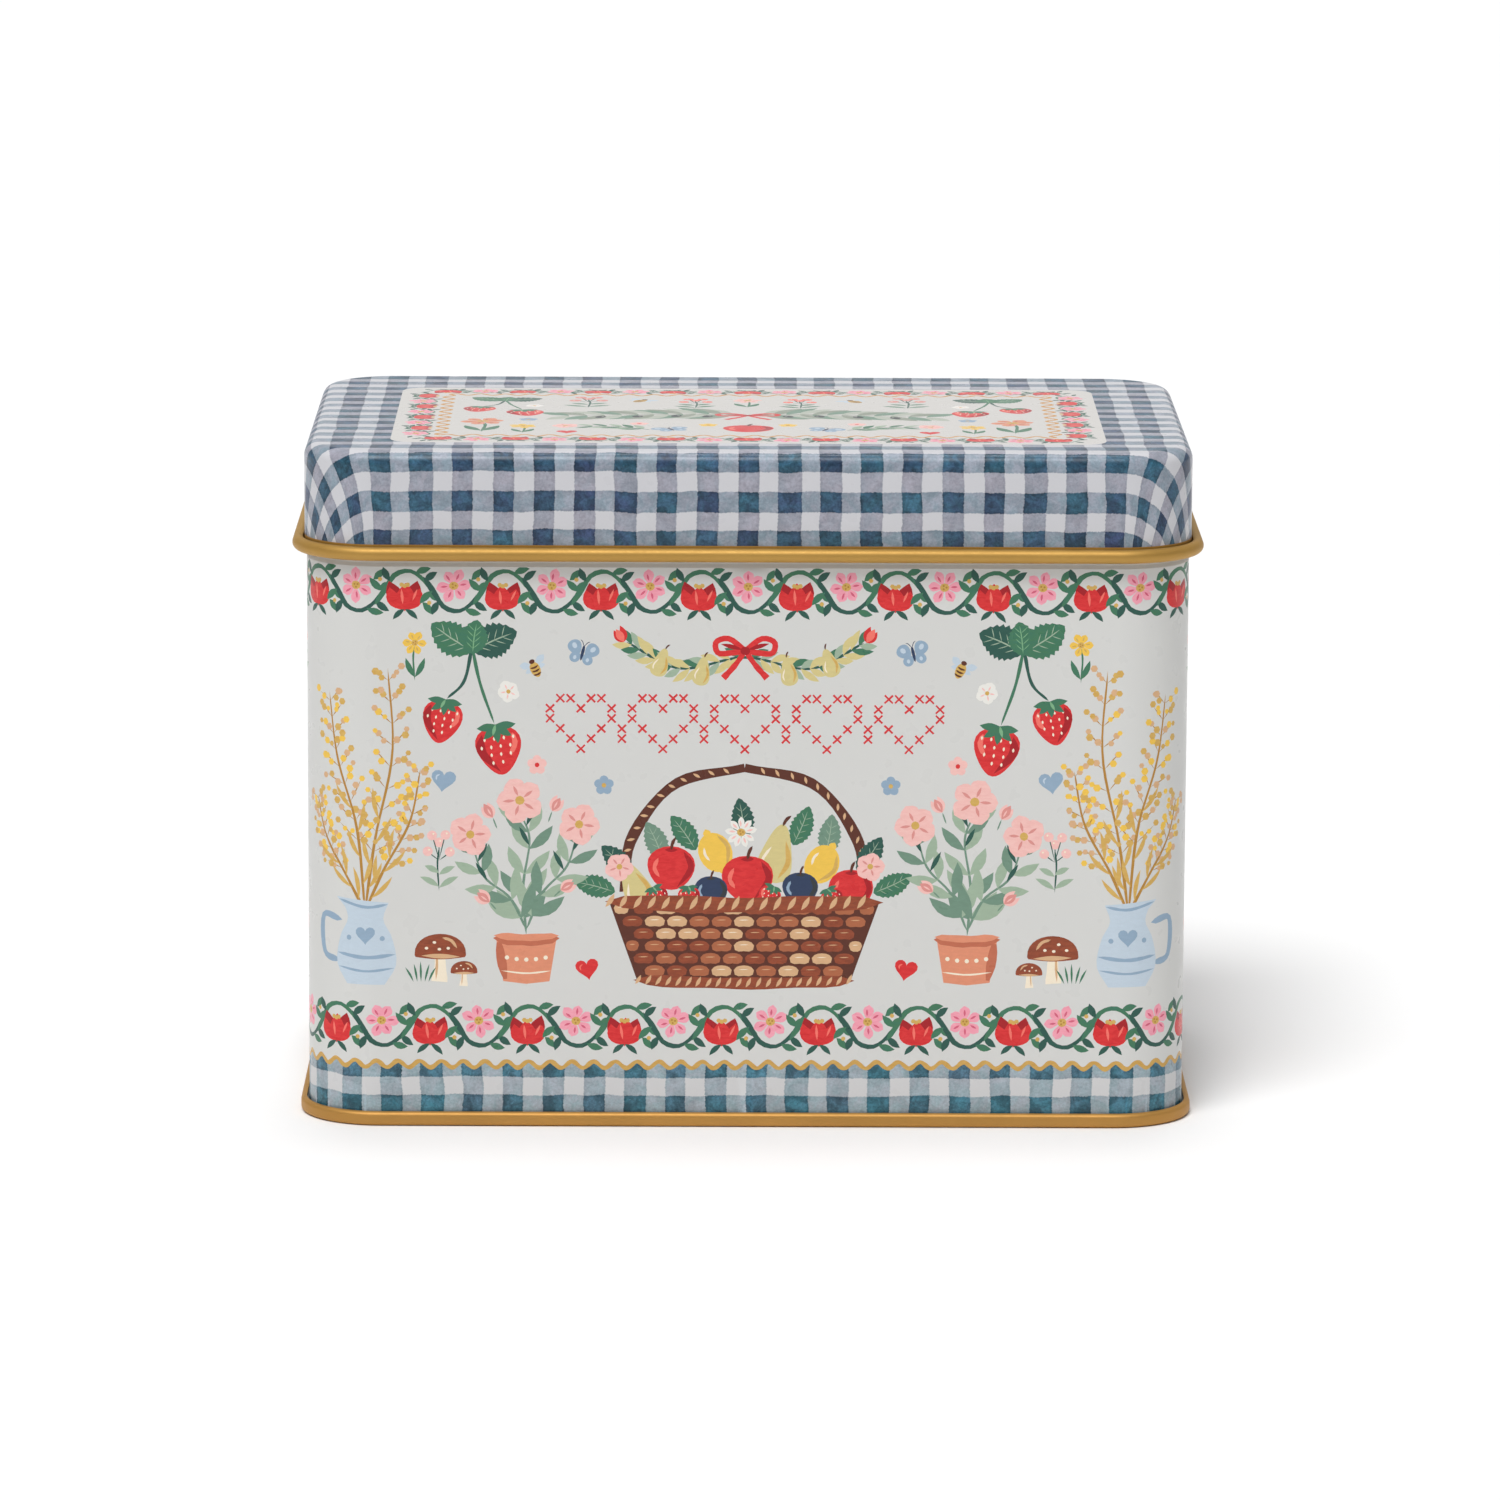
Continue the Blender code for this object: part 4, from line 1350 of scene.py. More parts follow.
# --------------------------------------------------------- the lid's panel
PANEL_X, PANEL_Y0, PANEL_Y1 = 66.6, -38.9, 32.6


def rounded_box(x0, y0, x1, y1, r, n=7):
    pts = []
    for cx, cy, a0 in ((x1 - r, y0 + r, -90), (x1 - r, y1 - r, 0),
                       (x0 + r, y1 - r, 90), (x0 + r, y0 + r, 180)):
        pts += [(cx + r * cos(radians(a0 + 90 * i / n)),
                 cy + r * sin(radians(a0 + 90 * i / n)))
                for i in range(n + 1)]
    return pts


def olive_bough(p):
    """A long spray of grey-green leaves and pale fruit."""
    stem = [(0, 0), (9, 1.6), (20, 0.6), (33, -1.2)]
    line = curve(stem, 60)
    p.stroke("grey_green", stem, 0.9, 0.4, n=20)
    for i in range(3, 59, 5):
        d = math.degrees(math.atan2(*(line[i] - line[i - 1])[::-1]))
        for side in (1, -1):
            p.leaf(("grey_green", "grey_light", "sage_deep")
                   [(i + (side > 0)) % 3], line[i][0], line[i][1],
                   d + side * 54, 11.0 - 0.07 * i, 3.1, bend=-side * 24, n=8)
    for i in (12, 24, 37, 48):
        q = line[i]
        p.egg("charcoal", q[0] + 0.8, q[1] - 2.4, 2.0, 2.9, 0.0, 20, n=12)
        p.oval("grey_light", q[0] + 0.4, q[1] - 1.9, 0.28, n=6)


def paint_lid():
    LID_ART.add("panel", rounded_box(-PANEL_X, PANEL_Y0, PANEL_X, PANEL_Y1,
                                      4.5))
    x0, x1 = -PANEL_X + 2.2, PANEL_X - 2.2
    y0, y1 = PANEL_Y0 + 2.2, PANEL_Y1 - 2.2
    # running border of the same vine, one row on each side
    w = 7.4
    for cx, cy, ln, turn in (((x0 + x1) / 2, y0 + 2.6, x1 - x0 - 6, 0),
                             ((x0 + x1) / 2, y1 - 2.6, x1 - x0 - 6, 180),
                             (x0 + 2.6, (y0 + y1) / 2, y1 - y0 - 11, 270),
                             (x1 - 2.6, (y0 + y1) / 2, y1 - y0 - 11, 90)):
        n = int(round(ln / w))
        step = ln / n
        for k in range(n):
            q = Pen(LID_ART, cx, cy, 1.0, turn, seed=900 + k + turn).at(
                -ln / 2 + (k + 0.5) * step, 0.0)
            up = 1 if k % 2 else -1
            q.stroke("green", [(-0.55 * step, -up * 1.7), (-0.2 * step,
                                                           up * 1.6),
                               (0.2 * step, up * 2.1),
                               (0.55 * step, -up * 0.4)], 0.6, 0.35, n=10)
            for x, y, a in ((-0.42, -0.4, 150), (0.40, 1.0, 40),
                            (0.45, -0.9, -20), (-0.3, 1.4, 120)):
                q.leaf("green_deep", x * step, up * y, up * a, 2.3, 0.9)
            if k % 2:
                daisy(q, 0, -0.3, 2.8, 6, "pink", "pink_deep")
            else:
                tulip_flower(q, 0, 0.4, 2.7)
    # gold zigzag inside it
    ix0, ix1, iy0, iy1 = x0 + 7.0, x1 - 7.0, y0 + 7.0, y1 - 7.0
    for (ax, ay), (bx, by) in (((ix0, iy0), (ix1, iy0)),
                               ((ix1, iy0), (ix1, iy1)),
                               ((ix1, iy1), (ix0, iy1)),
                               ((ix0, iy1), (ix0, iy0))):
        ln = math.hypot(bx - ax, by - ay)
        n = int(round(ln / 2.4)) * 6
        ux, uy = (bx - ax) / ln, (by - ay) / ln
        pts = np.array([(ax + ux * ln * i / n - uy * 1.0 * sin(pi * i / 6),
                         ay + uy * ln * i / n + ux * 1.0 * sin(pi * i / 6))
                        for i in range(n + 1)])
        LID_ART.add("zigzag", ribbon(pts, np.full(len(pts), 0.36)))

    def put(motif, x, y, *args, size=1.0, turn=0.0, flip=False, **kw):
        motif(Pen(LID_ART, x, y, size, turn, flip,
                  int(abs(x) * 10 + abs(y) * 17) % 9973), *args, **kw)

    cy = (y0 + y1) / 2
    put(olive_bough, 1.5, cy)
    put(olive_bough, -1.5, cy, flip=True)
    put(bow, 0, cy, "red", "red_deep", 5.6)
    for sx in (1, -1):
        put(strawberry_sprig, sx * 46.0, cy + 8.0, flip=sx < 0, size=0.85)
        put(sprig, sx * 50.0, cy - 14.0, "clay", "clay_deep", size=1.9)
        put(sprig, sx * 42.3, cy - 18.0, "yellow", "ochre", size=1.2)
        put(berry_sprig, sx * 30.5, cy + 16.0, "dusty_deep", "sage_deep",
            "green_deep", size=1.25)
        put(leaf_spray, sx * 26.0, cy - 16.0, flip=sx < 0, size=1.1)
        put(bee, sx * 20.5, cy + 19.0, turn=sx * 30, size=1.2)
        put(butterfly, sx * 14.5, cy - 18.0, "blue", "pale_blue",
            turn=-sx * 20, size=1.2)
        put(berry_sprig, sx * 10.0, cy + 15.0, "coral", "green",
            "green_deep", size=1.1)
        put(heart, sx * 34.0, cy - 22.0, "red", 3.6, "coral")
        put(floret, sx * 41.5, cy - 6.0, "blue", "ochre")
        put(floret, sx * 20.5, cy - 11.0, "dusty", "red")
        put(floret, sx * 7.5, cy - 12.5, "yellow", "ochre_deep")
    put(apple, 0.0, cy - 17.0, 4.6)
    put(sprig, 0.0, cy + 16.0, "dusty", "dusty_deep", size=1.3)


def leaf_spray(p):
    leafy(p, [(-7, -2.5), (-1, 0.8), (7, 1.5)], 6, 4.6, 1.5,
          ["green", "sage"], "green_deep", 0.45)
    blossom(p, 7.6, 1.8, 2.4, "dusty", "dusty_deep")


paint_lid()

# ================================================================= materials
PAPER = (0.680, 0.680, 0.662)
MATERIALS = {
    "ground": ink("printed_ground", PAPER, 0.012, 0.006, (1.0, 1.0, 0.995)),
    "panel": ink("printed_panel", (0.655, 0.636, 0.610), 0.012, 0.006),
    "gingham": gingham_material(
        "gingham_lid", (7.545, 7.50), (0.0, -51.5), (0.625, 0.625, 0.655),
        (lin(162, 160, 172), lin(142, 149, 161)),
        (lin(154, 159, 172), lin(129, 147, 159)),
        (lin(54, 66, 98), lin(50, 88, 107))),
    "band": gingham_material(
        "gingham_band", (PERIMETER / 67, 7.3), (2.0, 3.8),
        (0.645, 0.645, 0.65),
        (lin(164, 171, 180), lin(141, 164, 171)),
        (lin(164, 172, 181), lin(145, 168, 175)),
        (lin(77, 107, 127), lin(57, 108, 124))),
    "gold": gold_material("gold_lacquer", lin(190, 149, 75),
                          lin(184, 143, 70)),
    # The foot's copy of the gold lacquer is deeper and more saturated than the
    # lid's: painted shade that offsets the floor's bright reflection in the foot
    # rim.
    "gold_base": gold_material("gold_lacquer_base", lin(196, 146, 74),
                               lin(188, 140, 70)),
    "tin": tin_material(),
    "seam": tin_material("tinplate_seam", (0.50, 0.50, 0.49),
                         (0.45, 0.45, 0.44)),
}
GAIN = 1.12      # from a colour as it looks on the front to its albedo


def paint(name, r, g, b, vary=0.24, grains=0.10, shift=(1.0, 1.0, 1.0)):
    colour = tuple(min(0.95, c * GAIN) for c in lin(r, g, b))
    MATERIALS[name] = ink("ink_" + name, colour, vary, grains, shift)


paint("red", 205, 40, 44, 0.30, 0.12, (1.05, 1.6, 1.4))
paint("red_deep", 160, 26, 34)
paint("coral", 232, 112, 100)
paint("stitch", 202, 52, 56, 0.3, 0.2)
paint("pink", 232, 148, 166, 0.16, 0.08, (1.0, 1.15, 1.1))
paint("pink_deep", 206, 92, 118)
paint("dusty", 233, 180, 174, 0.14, 0.08, (1.0, 1.1, 1.1))
paint("dusty_deep", 212, 140, 134)
paint("green", 66, 118, 86, 0.34, 0.12, (0.8, 0.85, 1.05))
paint("green_deep", 44, 84, 74, 0.30)
paint("leaf_light", 120, 168, 128)
paint("sage", 152, 172, 150, 0.22)
paint("sage_deep", 108, 138, 120, 0.28)
paint("grey_green", 138, 146, 132, 0.3)
paint("grey_light", 172, 178, 166, 0.3)
paint("navy", 46, 60, 88, 0.3)
paint("charcoal", 52, 56, 60, 0.3)
paint("blue", 140, 163, 184, 0.2)
paint("pale_blue", 186, 200, 212, 0.15)
paint("ochre", 202, 160, 82, 0.22, 0.1, (1.0, 1.1, 1.3))
paint("ochre_deep", 172, 126, 54, 0.25)
paint("rickrack", 196, 152, 78, 0.28, 0.14, (1.0, 1.08, 1.25))
paint("zigzag", 196, 138, 56)
paint("yellow", 230, 188, 78, 0.2)
paint("olive", 204, 190, 132, 0.2)
paint("brown", 132, 66, 44, 0.34, 0.14, (1.25, 1.2, 1.1))
paint("brown_light", 166, 98, 66, 0.3)
paint("brown_deep", 88, 46, 34, 0.3)
paint("tan", 206, 166, 126, 0.25)
paint("cream", 234, 222, 200, 0.08)
paint("white", 226, 224, 218, 0.06)
paint("clay", 214, 138, 108, 0.25)
paint("clay_deep", 184, 104, 78, 0.25)


# ========================================================== body wall (print)


def wall_bake(s, z):
    """The front half in one row of the map, the back half in the other."""
    if abs(s) <= SIDE_MID:
        return (0.5 + s * 0.00375, 0.030 + (z - W_LOW) * 0.00375)
    t = s - HALF if s > 0 else s + HALF
    return (0.5 + t * 0.00375, 0.450 + (z - W_LOW) * 0.00375)


def build_wall():
    skin = Skin("body_wall_printed")
    low, high = W_LOW, W_HIGH
    half = between(0.0, FX, 10) + STATIONS[len(STATIONS) // 2 + 1:][5::4]
    half += between(SIDE_MID - FY, SIDE_MID + FY, 10)
    half += between(SIDE_MID + FY + CORNER_ARC, HALF - 3.1, 9) + [HALF]
    half = sorted({round(s, 6) for s in half if s <= HALF})
    cuts = sorted({-s for s in half} | set(half))
    cuts[0], cuts[-1] = -HALF, HALF
    for p, name in partition(ART, "ground", cuts,
                             [low, 13.2, 24.2, 42.0, 60.0, 78.0, 95.8, high],
                             STATIONS[1:-1]):
        area = (p[1][0] - p[0][0]) * (p[2][1] - p[0][1]) \
            - (p[2][0] - p[0][0]) * (p[1][1] - p[0][1])
        if abs(area) < 1e-9:
            continue
        if area < 0:
            p = [p[0], p[2], p[1]]
        mid = (p[0][0] + p[1][0] + p[2][0]) / 3
        back = abs(mid) > SIDE_MID
        world, normal, sheet, bake = [], [], [], []
        for s, z in p:
            s = min(max(s, -HALF), HALF)
            x, y, nx, ny = station(s, WALL_O)
            if abs(s) > HALF - 1e-6:           # the seam's own line
                x, nx = 0.0, 0.0
            d = seam_depth(s)
            world.append((x - nx * d, y - ny * d, z))
            normal.append((nx, ny, 0.0))
            sheet.append((s, z))
            k = s
            if abs(abs(s) - SIDE_MID) < 1e-6:
                k = math.copysign(SIDE_MID + (1e-5 if back else -1e-5), s)
            bake.append(wall_bake(k, z))
        skin.add(world, name, sheet, bake, normal)

    # shoulder, neck, safety curl, inside face and the flange at the foot
    hem_o, hem_z = NECK_O - 0.8, NECK_TOP - 0.8
    outer = [(WALL_O, W_HIGH), (WALL_O - 0.06, 105.66),
             (NECK_O + 0.06, 106.14), (NECK_O, SHOULDER_HIGH), (NECK_O, hem_z)]
    outer += arc(hem_o, hem_z, 0.8, 0, 235, 14)[1:]
    inner = arc(hem_o, hem_z, 0.5, 235, 0, 14)
    inner += [(NECK_O - SHEET, SHOULDER_HIGH), (WALL_O - SHEET, SHOULDER_LOW),
              (WALL_O - SHEET, 1.6), (WALL_O - SHEET + 0.35, 1.15),
              (0.5, 1.15), (0.5, 1.45), (-0.1, 1.45), (WALL_O, W_LOW)]
    profile = outer + inner
    lengths = profile_lengths(profile)
    inside = len(outer) + 15          # where the long inside face starts

    def bake(s, i, t):
        # neck and curl in one strip, the inside squeezed into another
        u = 0.5 + s * 0.00187
        if i <= inside:
            return (u, 0.862 + t * 0.0022)
        return (u, 0.918 + (t - lengths[inside]) * 0.0006)

    def mat(i, s):
        if i >= 4:
            return "tin"
        return "seam" if HALF - abs(s) < 2.5 else "ground"

    sweep(skin, profile, mat, lambda s, i: (s, profile[i][1]), bake,
          depth=lambda s, z: seam_depth(s) if z < NECK_TOP - 0.9 else 0.0)
    wall = skin.make(MATERIALS)
    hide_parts("body_wall")
    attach(wall, "box")
    return wall


# =============================================================== base panel
def build_base():
    skin = Skin("base_rim")
    c, p = -1.3, 2.7
    lower = [(c - 0.5, p), (c - 0.30, p - 0.05), (c - 0.10, p - 0.18),
             (c, p - 0.45), (c, 0.40), (c + 0.06, 0.18), (c + 0.20, 0.05),
             (c + 0.4, 0.0)]
    lower += arc(1.2 - 0.8, 0.8, 0.8, -90, 0, 8)
    lower += arc(1.2 - 0.8, 2.6 - 0.8, 0.8, 0, 90, 8)
    lower += [(0.1, 2.6)]
    upper = [(0.1, 2.3), (0.4, 2.3)]
    upper += arc(0.4, 1.8, 0.5, 90, 0, 5)[1:]
    upper += arc(0.4, 0.8, 0.5, 0, -90, 5)
    upper += [(c + 0.5, 0.3), (c + 0.34, 0.42), (c + 0.3, 0.55),
              (c + 0.3, p - 0.30), (c + 0.18, p + 0.06), (c - 0.04, p + 0.24),
              (c - 0.5, p + 0.3)]
    profile = lower + upper
    split = len(lower)

    def bake(s, i, t):
        if i < split:
            return (0.5 + s * 0.0018, 0.02 + t * 0.012)
        return (0.5 + s * 0.0018, 0.20 + (t - 10.0) * 0.012)

    def mat(i, s):
        # the foot rim takes the deeper copy of the gold: painted shade against
        # the floor's reflection
        return "gold_base" if i < split else "tin"

    sweep(skin, profile, mat, lambda s, i: (s, profile[i][1]), bake)
    # the two faces of the flat panel; the underside takes the deeper copy of the
    # gold, painted shade against the floor's bright reflection
    for z, flip, v0, name in ((p, True, 0.42, "gold_base"), (p + 0.3, False, 0.72,
                                                        "tin")):
        ring = []
        for s in STATIONS[:-1]:
            x, y, _, _ = station(s, c - 0.5)
            if abs(s) > HALF - 1e-6:
                x = 0.0
            ring.append((x, y, z))
        uv = [(0.5 + x * 0.0024, v0 + 0.13 + y * 0.0024) for x, y, _ in ring]
        sheet = [(x, y) for x, y, _ in ring]
        if flip:
            ring, uv, sheet = ring[::-1], uv[::-1], sheet[::-1]
        skin.add(ring, name, sheet, uv,
                 [(0, 0, -1.0 if flip else 1.0)] * len(ring))
    base = skin.make(MATERIALS)
    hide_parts("base_panel")
    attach(base, "box")


# ================================================================= lid shell
def flat_sheet_point(s, d):
    """Where a point d down from the lid's flat lay in the flat sheet."""
    return station(s, -LID_EDGE + d)[:2]


NOTCHES = [(-45.0 - 7.6, -45.0 + 7.6), (45.0 - 7.6, 45.0 + 7.6)]


def build_lid():
    skin = Skin("lid_shell_printed")
    top = LID_TOP
    ring = []
    for s in STATIONS[:-1]:
        x, y, _, _ = station(s, -LID_EDGE)
        if abs(s) > HALF - 1e-6:
            x = 0.0
        ring.append((x, y))
    k = 0.0056
    for p, name in partition(LID_ART, "gingham", between(-80.0, 80.0, 18),
                             between(-49.0, 49.0, 12), (), ring):
        area = (p[1][0] - p[0][0]) * (p[2][1] - p[0][1]) \
            - (p[2][0] - p[0][0]) * (p[1][1] - p[0][1])
        if abs(area) < 1e-9:
            continue
        if area < 0:
            p = [p[0], p[2], p[1]]
        skin.add([(x, y, top) for x, y in p], name,
                 [(x, y) for x, y in p],
                 [(0.5 + x * k, 0.300 + y * k) for x, y in p],
                 [(0.0, 0.0, 1.0)] * 3)

    # rounded edge and skirt down to the bead, then the curl
    edge = arc(-LID_EDGE, top - LID_EDGE, LID_EDGE, 90, 0, 10)
    rows = [top - LID_EDGE - (top - LID_EDGE - 109.7) * i / 8
            for i in range(1, 9)]
    skirt = [(0.0, z) for z in rows]
    curl = [(0.0, 109.0)] + arc(1.0, BEAD_Z, 1.0, -180, 120, 24)
    back = arc(1.0, BEAD_Z, 1.3, 120, -180, 24)
    inside = [(-0.3, 109.0), (-0.3, 109.7), (-0.3, top - LID_EDGE)]
    inside += arc(-LID_EDGE, top - LID_EDGE, LID_EDGE - 0.3, 0, 90, 6)[1:]
    profile = edge + skirt + curl + back + inside
    lengths = profile_lengths(profile)
    n_print = len(edge) + len(skirt)
    n_gold = n_print + len(curl) + len(back)

    def mat(i, s):
        if i < n_print - 1:
            return "gingham"
        return "gold" if i < n_gold else "tin"

    def sheet(s, i):
        return flat_sheet_point(s, lengths[i])

    def bake(s, i, t):
        front = abs(s) <= SIDE_MID
        if i < n_print:
            return (0.5 + s * 0.0019, 0.640 + t * 0.0068)
        if i < n_gold:
            return (0.5 + s * 0.0019, 0.800 + (t - lengths[n_print]) * 0.0050)
        return (0.5 + s * 0.0019, 0.900 + (t - lengths[n_gold]) * 0.0030)

    # the notches in the rear bead: stations are added at their sides
    sweep_notched(skin, profile, mat, sheet, bake)
    # ceiling of the lid
    ring3 = [(x, y, top - 0.3) for x, y in ring][::-1]
    skin.add(ring3, "tin", [(x, y) for x, y, _ in ring3],
             [(0.25 + x * 0.0018, 0.985 + y * 0.0001) for x, y, _ in ring3],
             [(0.0, 0.0, -1.0)] * len(ring3))
    lid = skin.make(MATERIALS)
    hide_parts("lid_shell")
    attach(lid, "lid")


def sweep_notched(skin, profile, mat, sheet, bake):
    """sweep, with the two hinge notches left open in the rear bead, and the
    cut edges closed across the sheet's thickness."""
    global STATIONS
    plain = STATIONS
    cuts = []
    for lo, hi in NOTCHES:
        for x in (lo, hi):
            cuts.append(HALF - x if x > 0 else -HALF - x)
    STATIONS = sorted(plain + cuts)
    lengths = profile_lengths(profile)
    notch_z = 109.9
    n = len(profile)

    def in_notch(s):
        d = HALF - abs(s)
        return 45.0 - 7.6 < d < 45.0 + 7.6

    def low(i):
        return profile[i][1] <= 109.71 and profile[i + 1][1] <= 109.71

    def point(s, i):
        o, z = profile[i]
        x, y, nx, ny = station(s, o)
        if abs(s) > HALF - 1e-6:
            x = 0.0
        return (x, y, z)

    for i in range(n - 1):
        for s0, s1 in zip(STATIONS, STATIONS[1:]):
            mid = (s0 + s1) / 2
            if in_notch(mid) and low(i):
                continue
            skin.add([point(s0, i), point(s0, i + 1), point(s1, i + 1),
                      point(s1, i)], mat(i, mid),
                     [sheet(s0, i), sheet(s0, i + 1), sheet(s1, i + 1),
                      sheet(s1, i)],
                     [bake(s0, i, lengths[i]), bake(s0, i + 1, lengths[i + 1]),
                      bake(s1, i + 1, lengths[i + 1]), bake(s1, i, lengths[i])])
    # close the cut ends: outer run against inner run, point by point
    outer = [i for i in range(n) if profile[i][1] <= 109.71]
    half = len(outer) // 2
    first, second = outer[:half], outer[half:][::-1]
    for s in cuts:
        for a, b in zip(range(half - 1), range(1, half)):
            quad = [point(s, first[a]), point(s, first[b]),
                    point(s, second[b]), point(s, second[a])]
            skin.add(quad, "gold", [(s, 0)] * 4,
                     [(0.93 + 0.01 * (q % 2), 0.93 + 0.01 * (q // 2))
                      for q in range(4)])
    for lo, hi in NOTCHES:
        s0, s1 = sorted(HALF - x if x > 0 else -HALF - x for x in (lo, hi))
        a, b = outer[0], outer[-1]
        skin.add([point(s0, a), point(s1, a), point(s1, b), point(s0, b)],
                 "gold", [(s0, 0)] * 4,
                 [(0.95 + 0.01 * (q % 2), 0.93 + 0.01 * (q // 2))
                  for q in range(4)])
    STATIONS = plain


# ======================================================= cards and hinges
LEAN = radians(8.0)
DIVIDER_TINTS = [(222, 92, 88), (132, 160, 182), (150, 172, 140),
                 (226, 186, 104), (232, 160, 168), (96, 132, 116),
                 (204, 190, 140), (206, 120, 92)]


def card_stock(name, index, ruled):
    """Uncoated card: faint fibres, and on recipe cards printed rules."""
    n = Nodes(name, roughness=0.78, specular=0.3)
    x, y, z = n.object_xyz()
    v = n.mul(n.sub(z, 3.35), 1.0 / cos(LEAN))
    at = n.vec(x, n.mul(y, 0.4), v)
    fibre = n.noise(at, 1.3, 4.0, 0.7)
    cloud = n.noise(at, 0.05 + 0.003 * index, 2.0)
    warm = 0.86 + 0.012 * ((index * 7) % 5)
    c = n.mix(n.ramp(cloud, 0.3, 0.7), (warm, warm * 0.975, warm * 0.91),
              (warm * 0.97, warm * 0.94, warm * 0.865))
    if ruled:
        row = n.math("PINGPONG", n.sub(v, 8.0), 3.2)
        rule = n.ramp(row, 0.10, 0.22, 1.0, 0.0)
        rule = n.mul(rule, n.ramp(v, 86.0, 86.4, 1.0, 0.0))
        rule = n.mul(rule, n.ramp(n.math("ABSOLUTE", x), 68.0, 68.4, 1.0, 0.0))
        c = n.mix(n.mul(rule, 0.8), c, lin(140, 165, 186))
        head = n.ramp(n.math("ABSOLUTE", n.sub(v, 89.0)), 0.22, 0.36, 1.0, 0.0)
        head = n.mul(head, n.ramp(n.math("ABSOLUTE", x), 68.0, 68.4, 1.0, 0.0))
        c = n.mix(n.mul(head, 0.85), c, lin(205, 70, 70))
    c = n.scale_colour(c, n.add(0.955, n.mul(fibre, 0.09)))
    n.colour(c)
    n.bump(n.mul(fibre, 0.02), 0.6, 1.0)
    return n.mat


def divider_board(index):
    """Heavier board: a coloured tab over a narrow checked band."""
    n = Nodes("divider_board_%d" % index, roughness=0.7, specular=0.35)
    x, y, z = n.object_xyz()
    v = n.mul(n.sub(z, 3.35), 1.0 / cos(LEAN))
    at = n.vec(x, n.mul(y, 0.4), v)
    fibre = n.noise(at, 1.3, 4.0, 0.7)
    tint = lin(*DIVIDER_TINTS[index % 8])
    board = n.mix(n.ramp(n.noise(at, 0.06, 2.0), 0.3, 0.7),
                  lin(240, 232, 214), lin(234, 225, 205))
    wob = n.mul(n.sub(n.noise(at, 0.5, 2.0), 0.5), 0.25)
    check_x = n.ramp(n.math("PINGPONG", n.add(x, wob), 3.0), 1.35, 1.65)
    check_v = n.ramp(n.math("PINGPONG", n.add(v, wob), 3.0), 1.35, 1.65)
    light = tuple(0.5 * c + 0.42 for c in tint)
    checks = n.mix(check_x, board, light)
    checks = n.mix(check_v, checks, n.mix(check_x, light, tint))
    band = n.mul(n.ramp(v, 90.0, 90.2), n.ramp(v, 99.0, 99.2, 1.0, 0.0))
    c = n.mix(band, board, checks)
    c = n.mix(n.ramp(v, 101.8, 102.1), c, tint)
    c = n.scale_colour(c, n.add(0.95, n.mul(fibre, 0.10)))
    n.colour(c)
    n.bump(n.mul(fibre, 0.02), 0.6, 1.0)
    return n.mat


def steel_material():
    """Drawn steel wire."""
    n = Nodes("steel_wire", roughness=0.32, metallic=1.0)
    x, y, z = n.object_xyz()
    drawn = n.noise(n.vec(n.mul(x, 0.08), n.mul(y, 2.0), n.mul(z, 2.0)), 2.0,
                    3.0, 0.6)
    c = n.mix(n.ramp(drawn, 0.3, 0.7), (0.52, 0.52, 0.51), (0.60, 0.60, 0.59))
    n.colour(c)
    n.roughness(n.ramp(drawn, 0.3, 0.7, 0.28, 0.40))
    return n.mat


def dress_cad_nodes():
    """The plainer pieces keep their CAD shape and get their finish here."""
    steel = steel_material()
    for name, node in sorted((o.name, o) for o in bpy.data.objects
                             if o.type == "MESH"):
        if name.startswith("recipe_card_"):
            mat, slot = card_stock(name, int(name[-2:]), True), "card_stock"
        elif name.startswith("divider_"):
            mat, slot = divider_board(int(name[-1]) - 1), "divider_board"
        elif name.startswith("hinge_strap_"):
            mat, slot = MATERIALS["gold"], "gold_lacquer"
        elif name.startswith("hinge_pin_"):
            mat, slot = steel, "bare_steel"
        else:
            continue
        node.data.materials.clear()
        node.data.materials.append(mat)


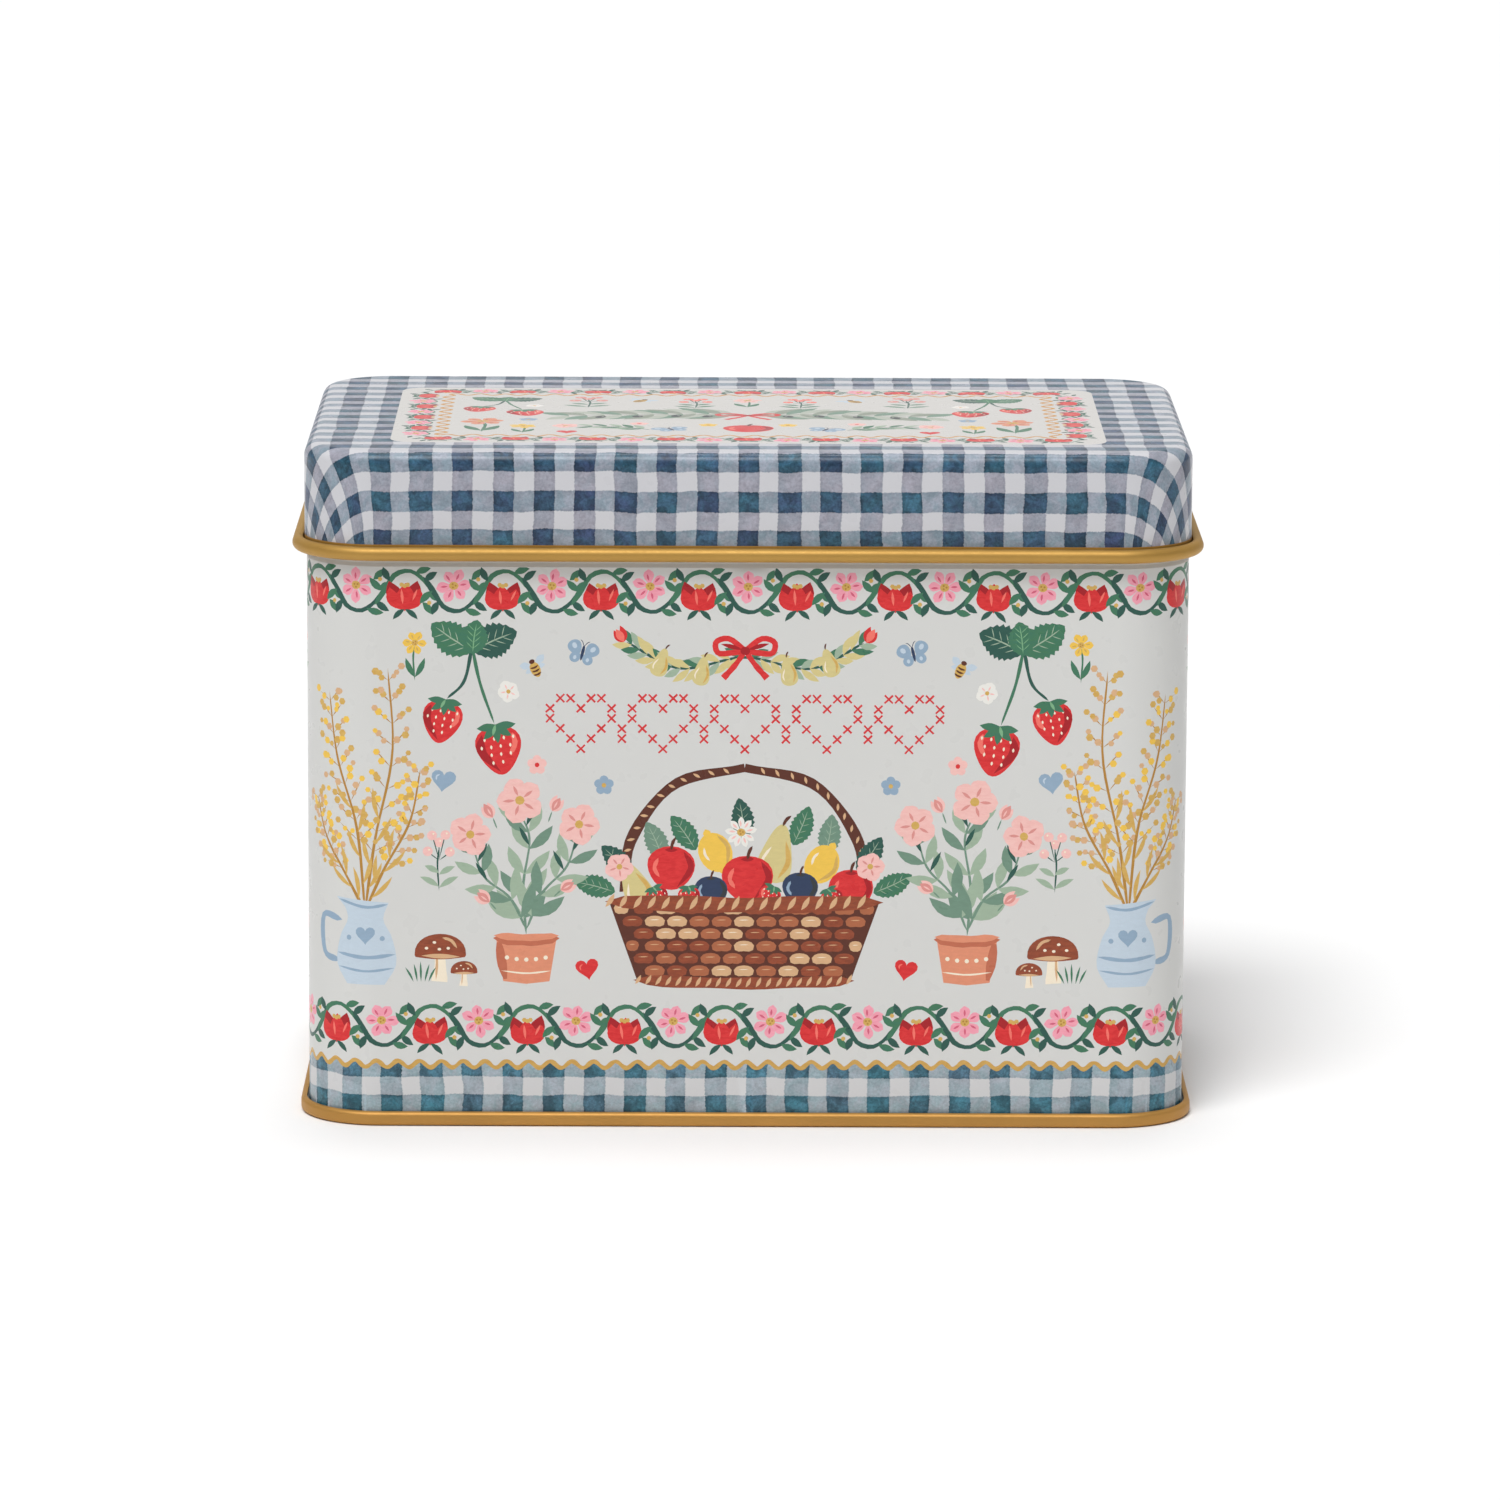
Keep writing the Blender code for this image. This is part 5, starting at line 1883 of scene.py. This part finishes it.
# ==================================================================== stage
def build_stage():
    bpy.ops.mesh.primitive_plane_add(size=8.0, location=(0, 0, -0.00005))
    floor_obj = bpy.context.object
    floor_obj.name = "floor"
    n = Nodes("floor", roughness=0.75, specular=0.2)
    n.colour((0.92, 0.92, 0.92))
    floor_obj.data.materials.append(n.mat)

    for name, energy, angle, way in (
            ("key", 2.38, 28, (0.17, 0.46, -0.91)),
            ("back", 0.50, 14, (0.0, -0.19, -0.98))):
        sun = bpy.data.lights.new(name, "SUN")
        sun.energy = energy
        sun.angle = radians(angle)
        lamp = bpy.data.objects.new(name, sun)
        lamp.rotation_euler = Vector(way).to_track_quat("-Z", "Y").to_euler()
        bpy.context.scene.collection.objects.link(lamp)

    world = bpy.data.worlds.new("studio")
    bpy.context.scene.world = world
    world.use_nodes = True
    nt = world.node_tree
    bg = nt.nodes["Background"]
    tc = nt.nodes.new("ShaderNodeTexCoord")
    sep = nt.nodes.new("ShaderNodeSeparateXYZ")
    nt.links.new(tc.outputs["Generated"], sep.inputs[0])
    total = None
    for axis, values in ((0, (-1.0, -0.55, -0.06, 0.0)),
                         (0, (0.55, 1.0, 0.0, -0.06)),
                         (1, (-1.0, 0.9, 0.14, 0.42)),
                         (1, (0.86, 0.99, 0.0, 0.27)),
                         (2, (0.15, 1.0, 0.0, 0.07))):
        ramp = nt.nodes.new("ShaderNodeMapRange")
        ramp.interpolation_type = "SMOOTHSTEP"
        nt.links.new(sep.outputs[axis], ramp.inputs[0])
        for i, val in enumerate(values):
            ramp.inputs[i + 1].default_value = val
        if total is None:
            total = ramp.outputs[0]
            continue
        both = nt.nodes.new("ShaderNodeMath")
        both.operation = "ADD"
        nt.links.new(total, both.inputs[0])
        nt.links.new(ramp.outputs[0], both.inputs[1])
        total = both.outputs[0]
    nt.links.new(total, bg.inputs["Strength"])
    bg.inputs["Color"].default_value = (1, 1, 1, 1)
    bpy.context.scene.view_settings.view_transform = "Standard"
    bpy.context.scene.view_settings.look = "None"


camera()
build_stage()
build_wall()
build_base()
build_lid()
dress_cad_nodes()
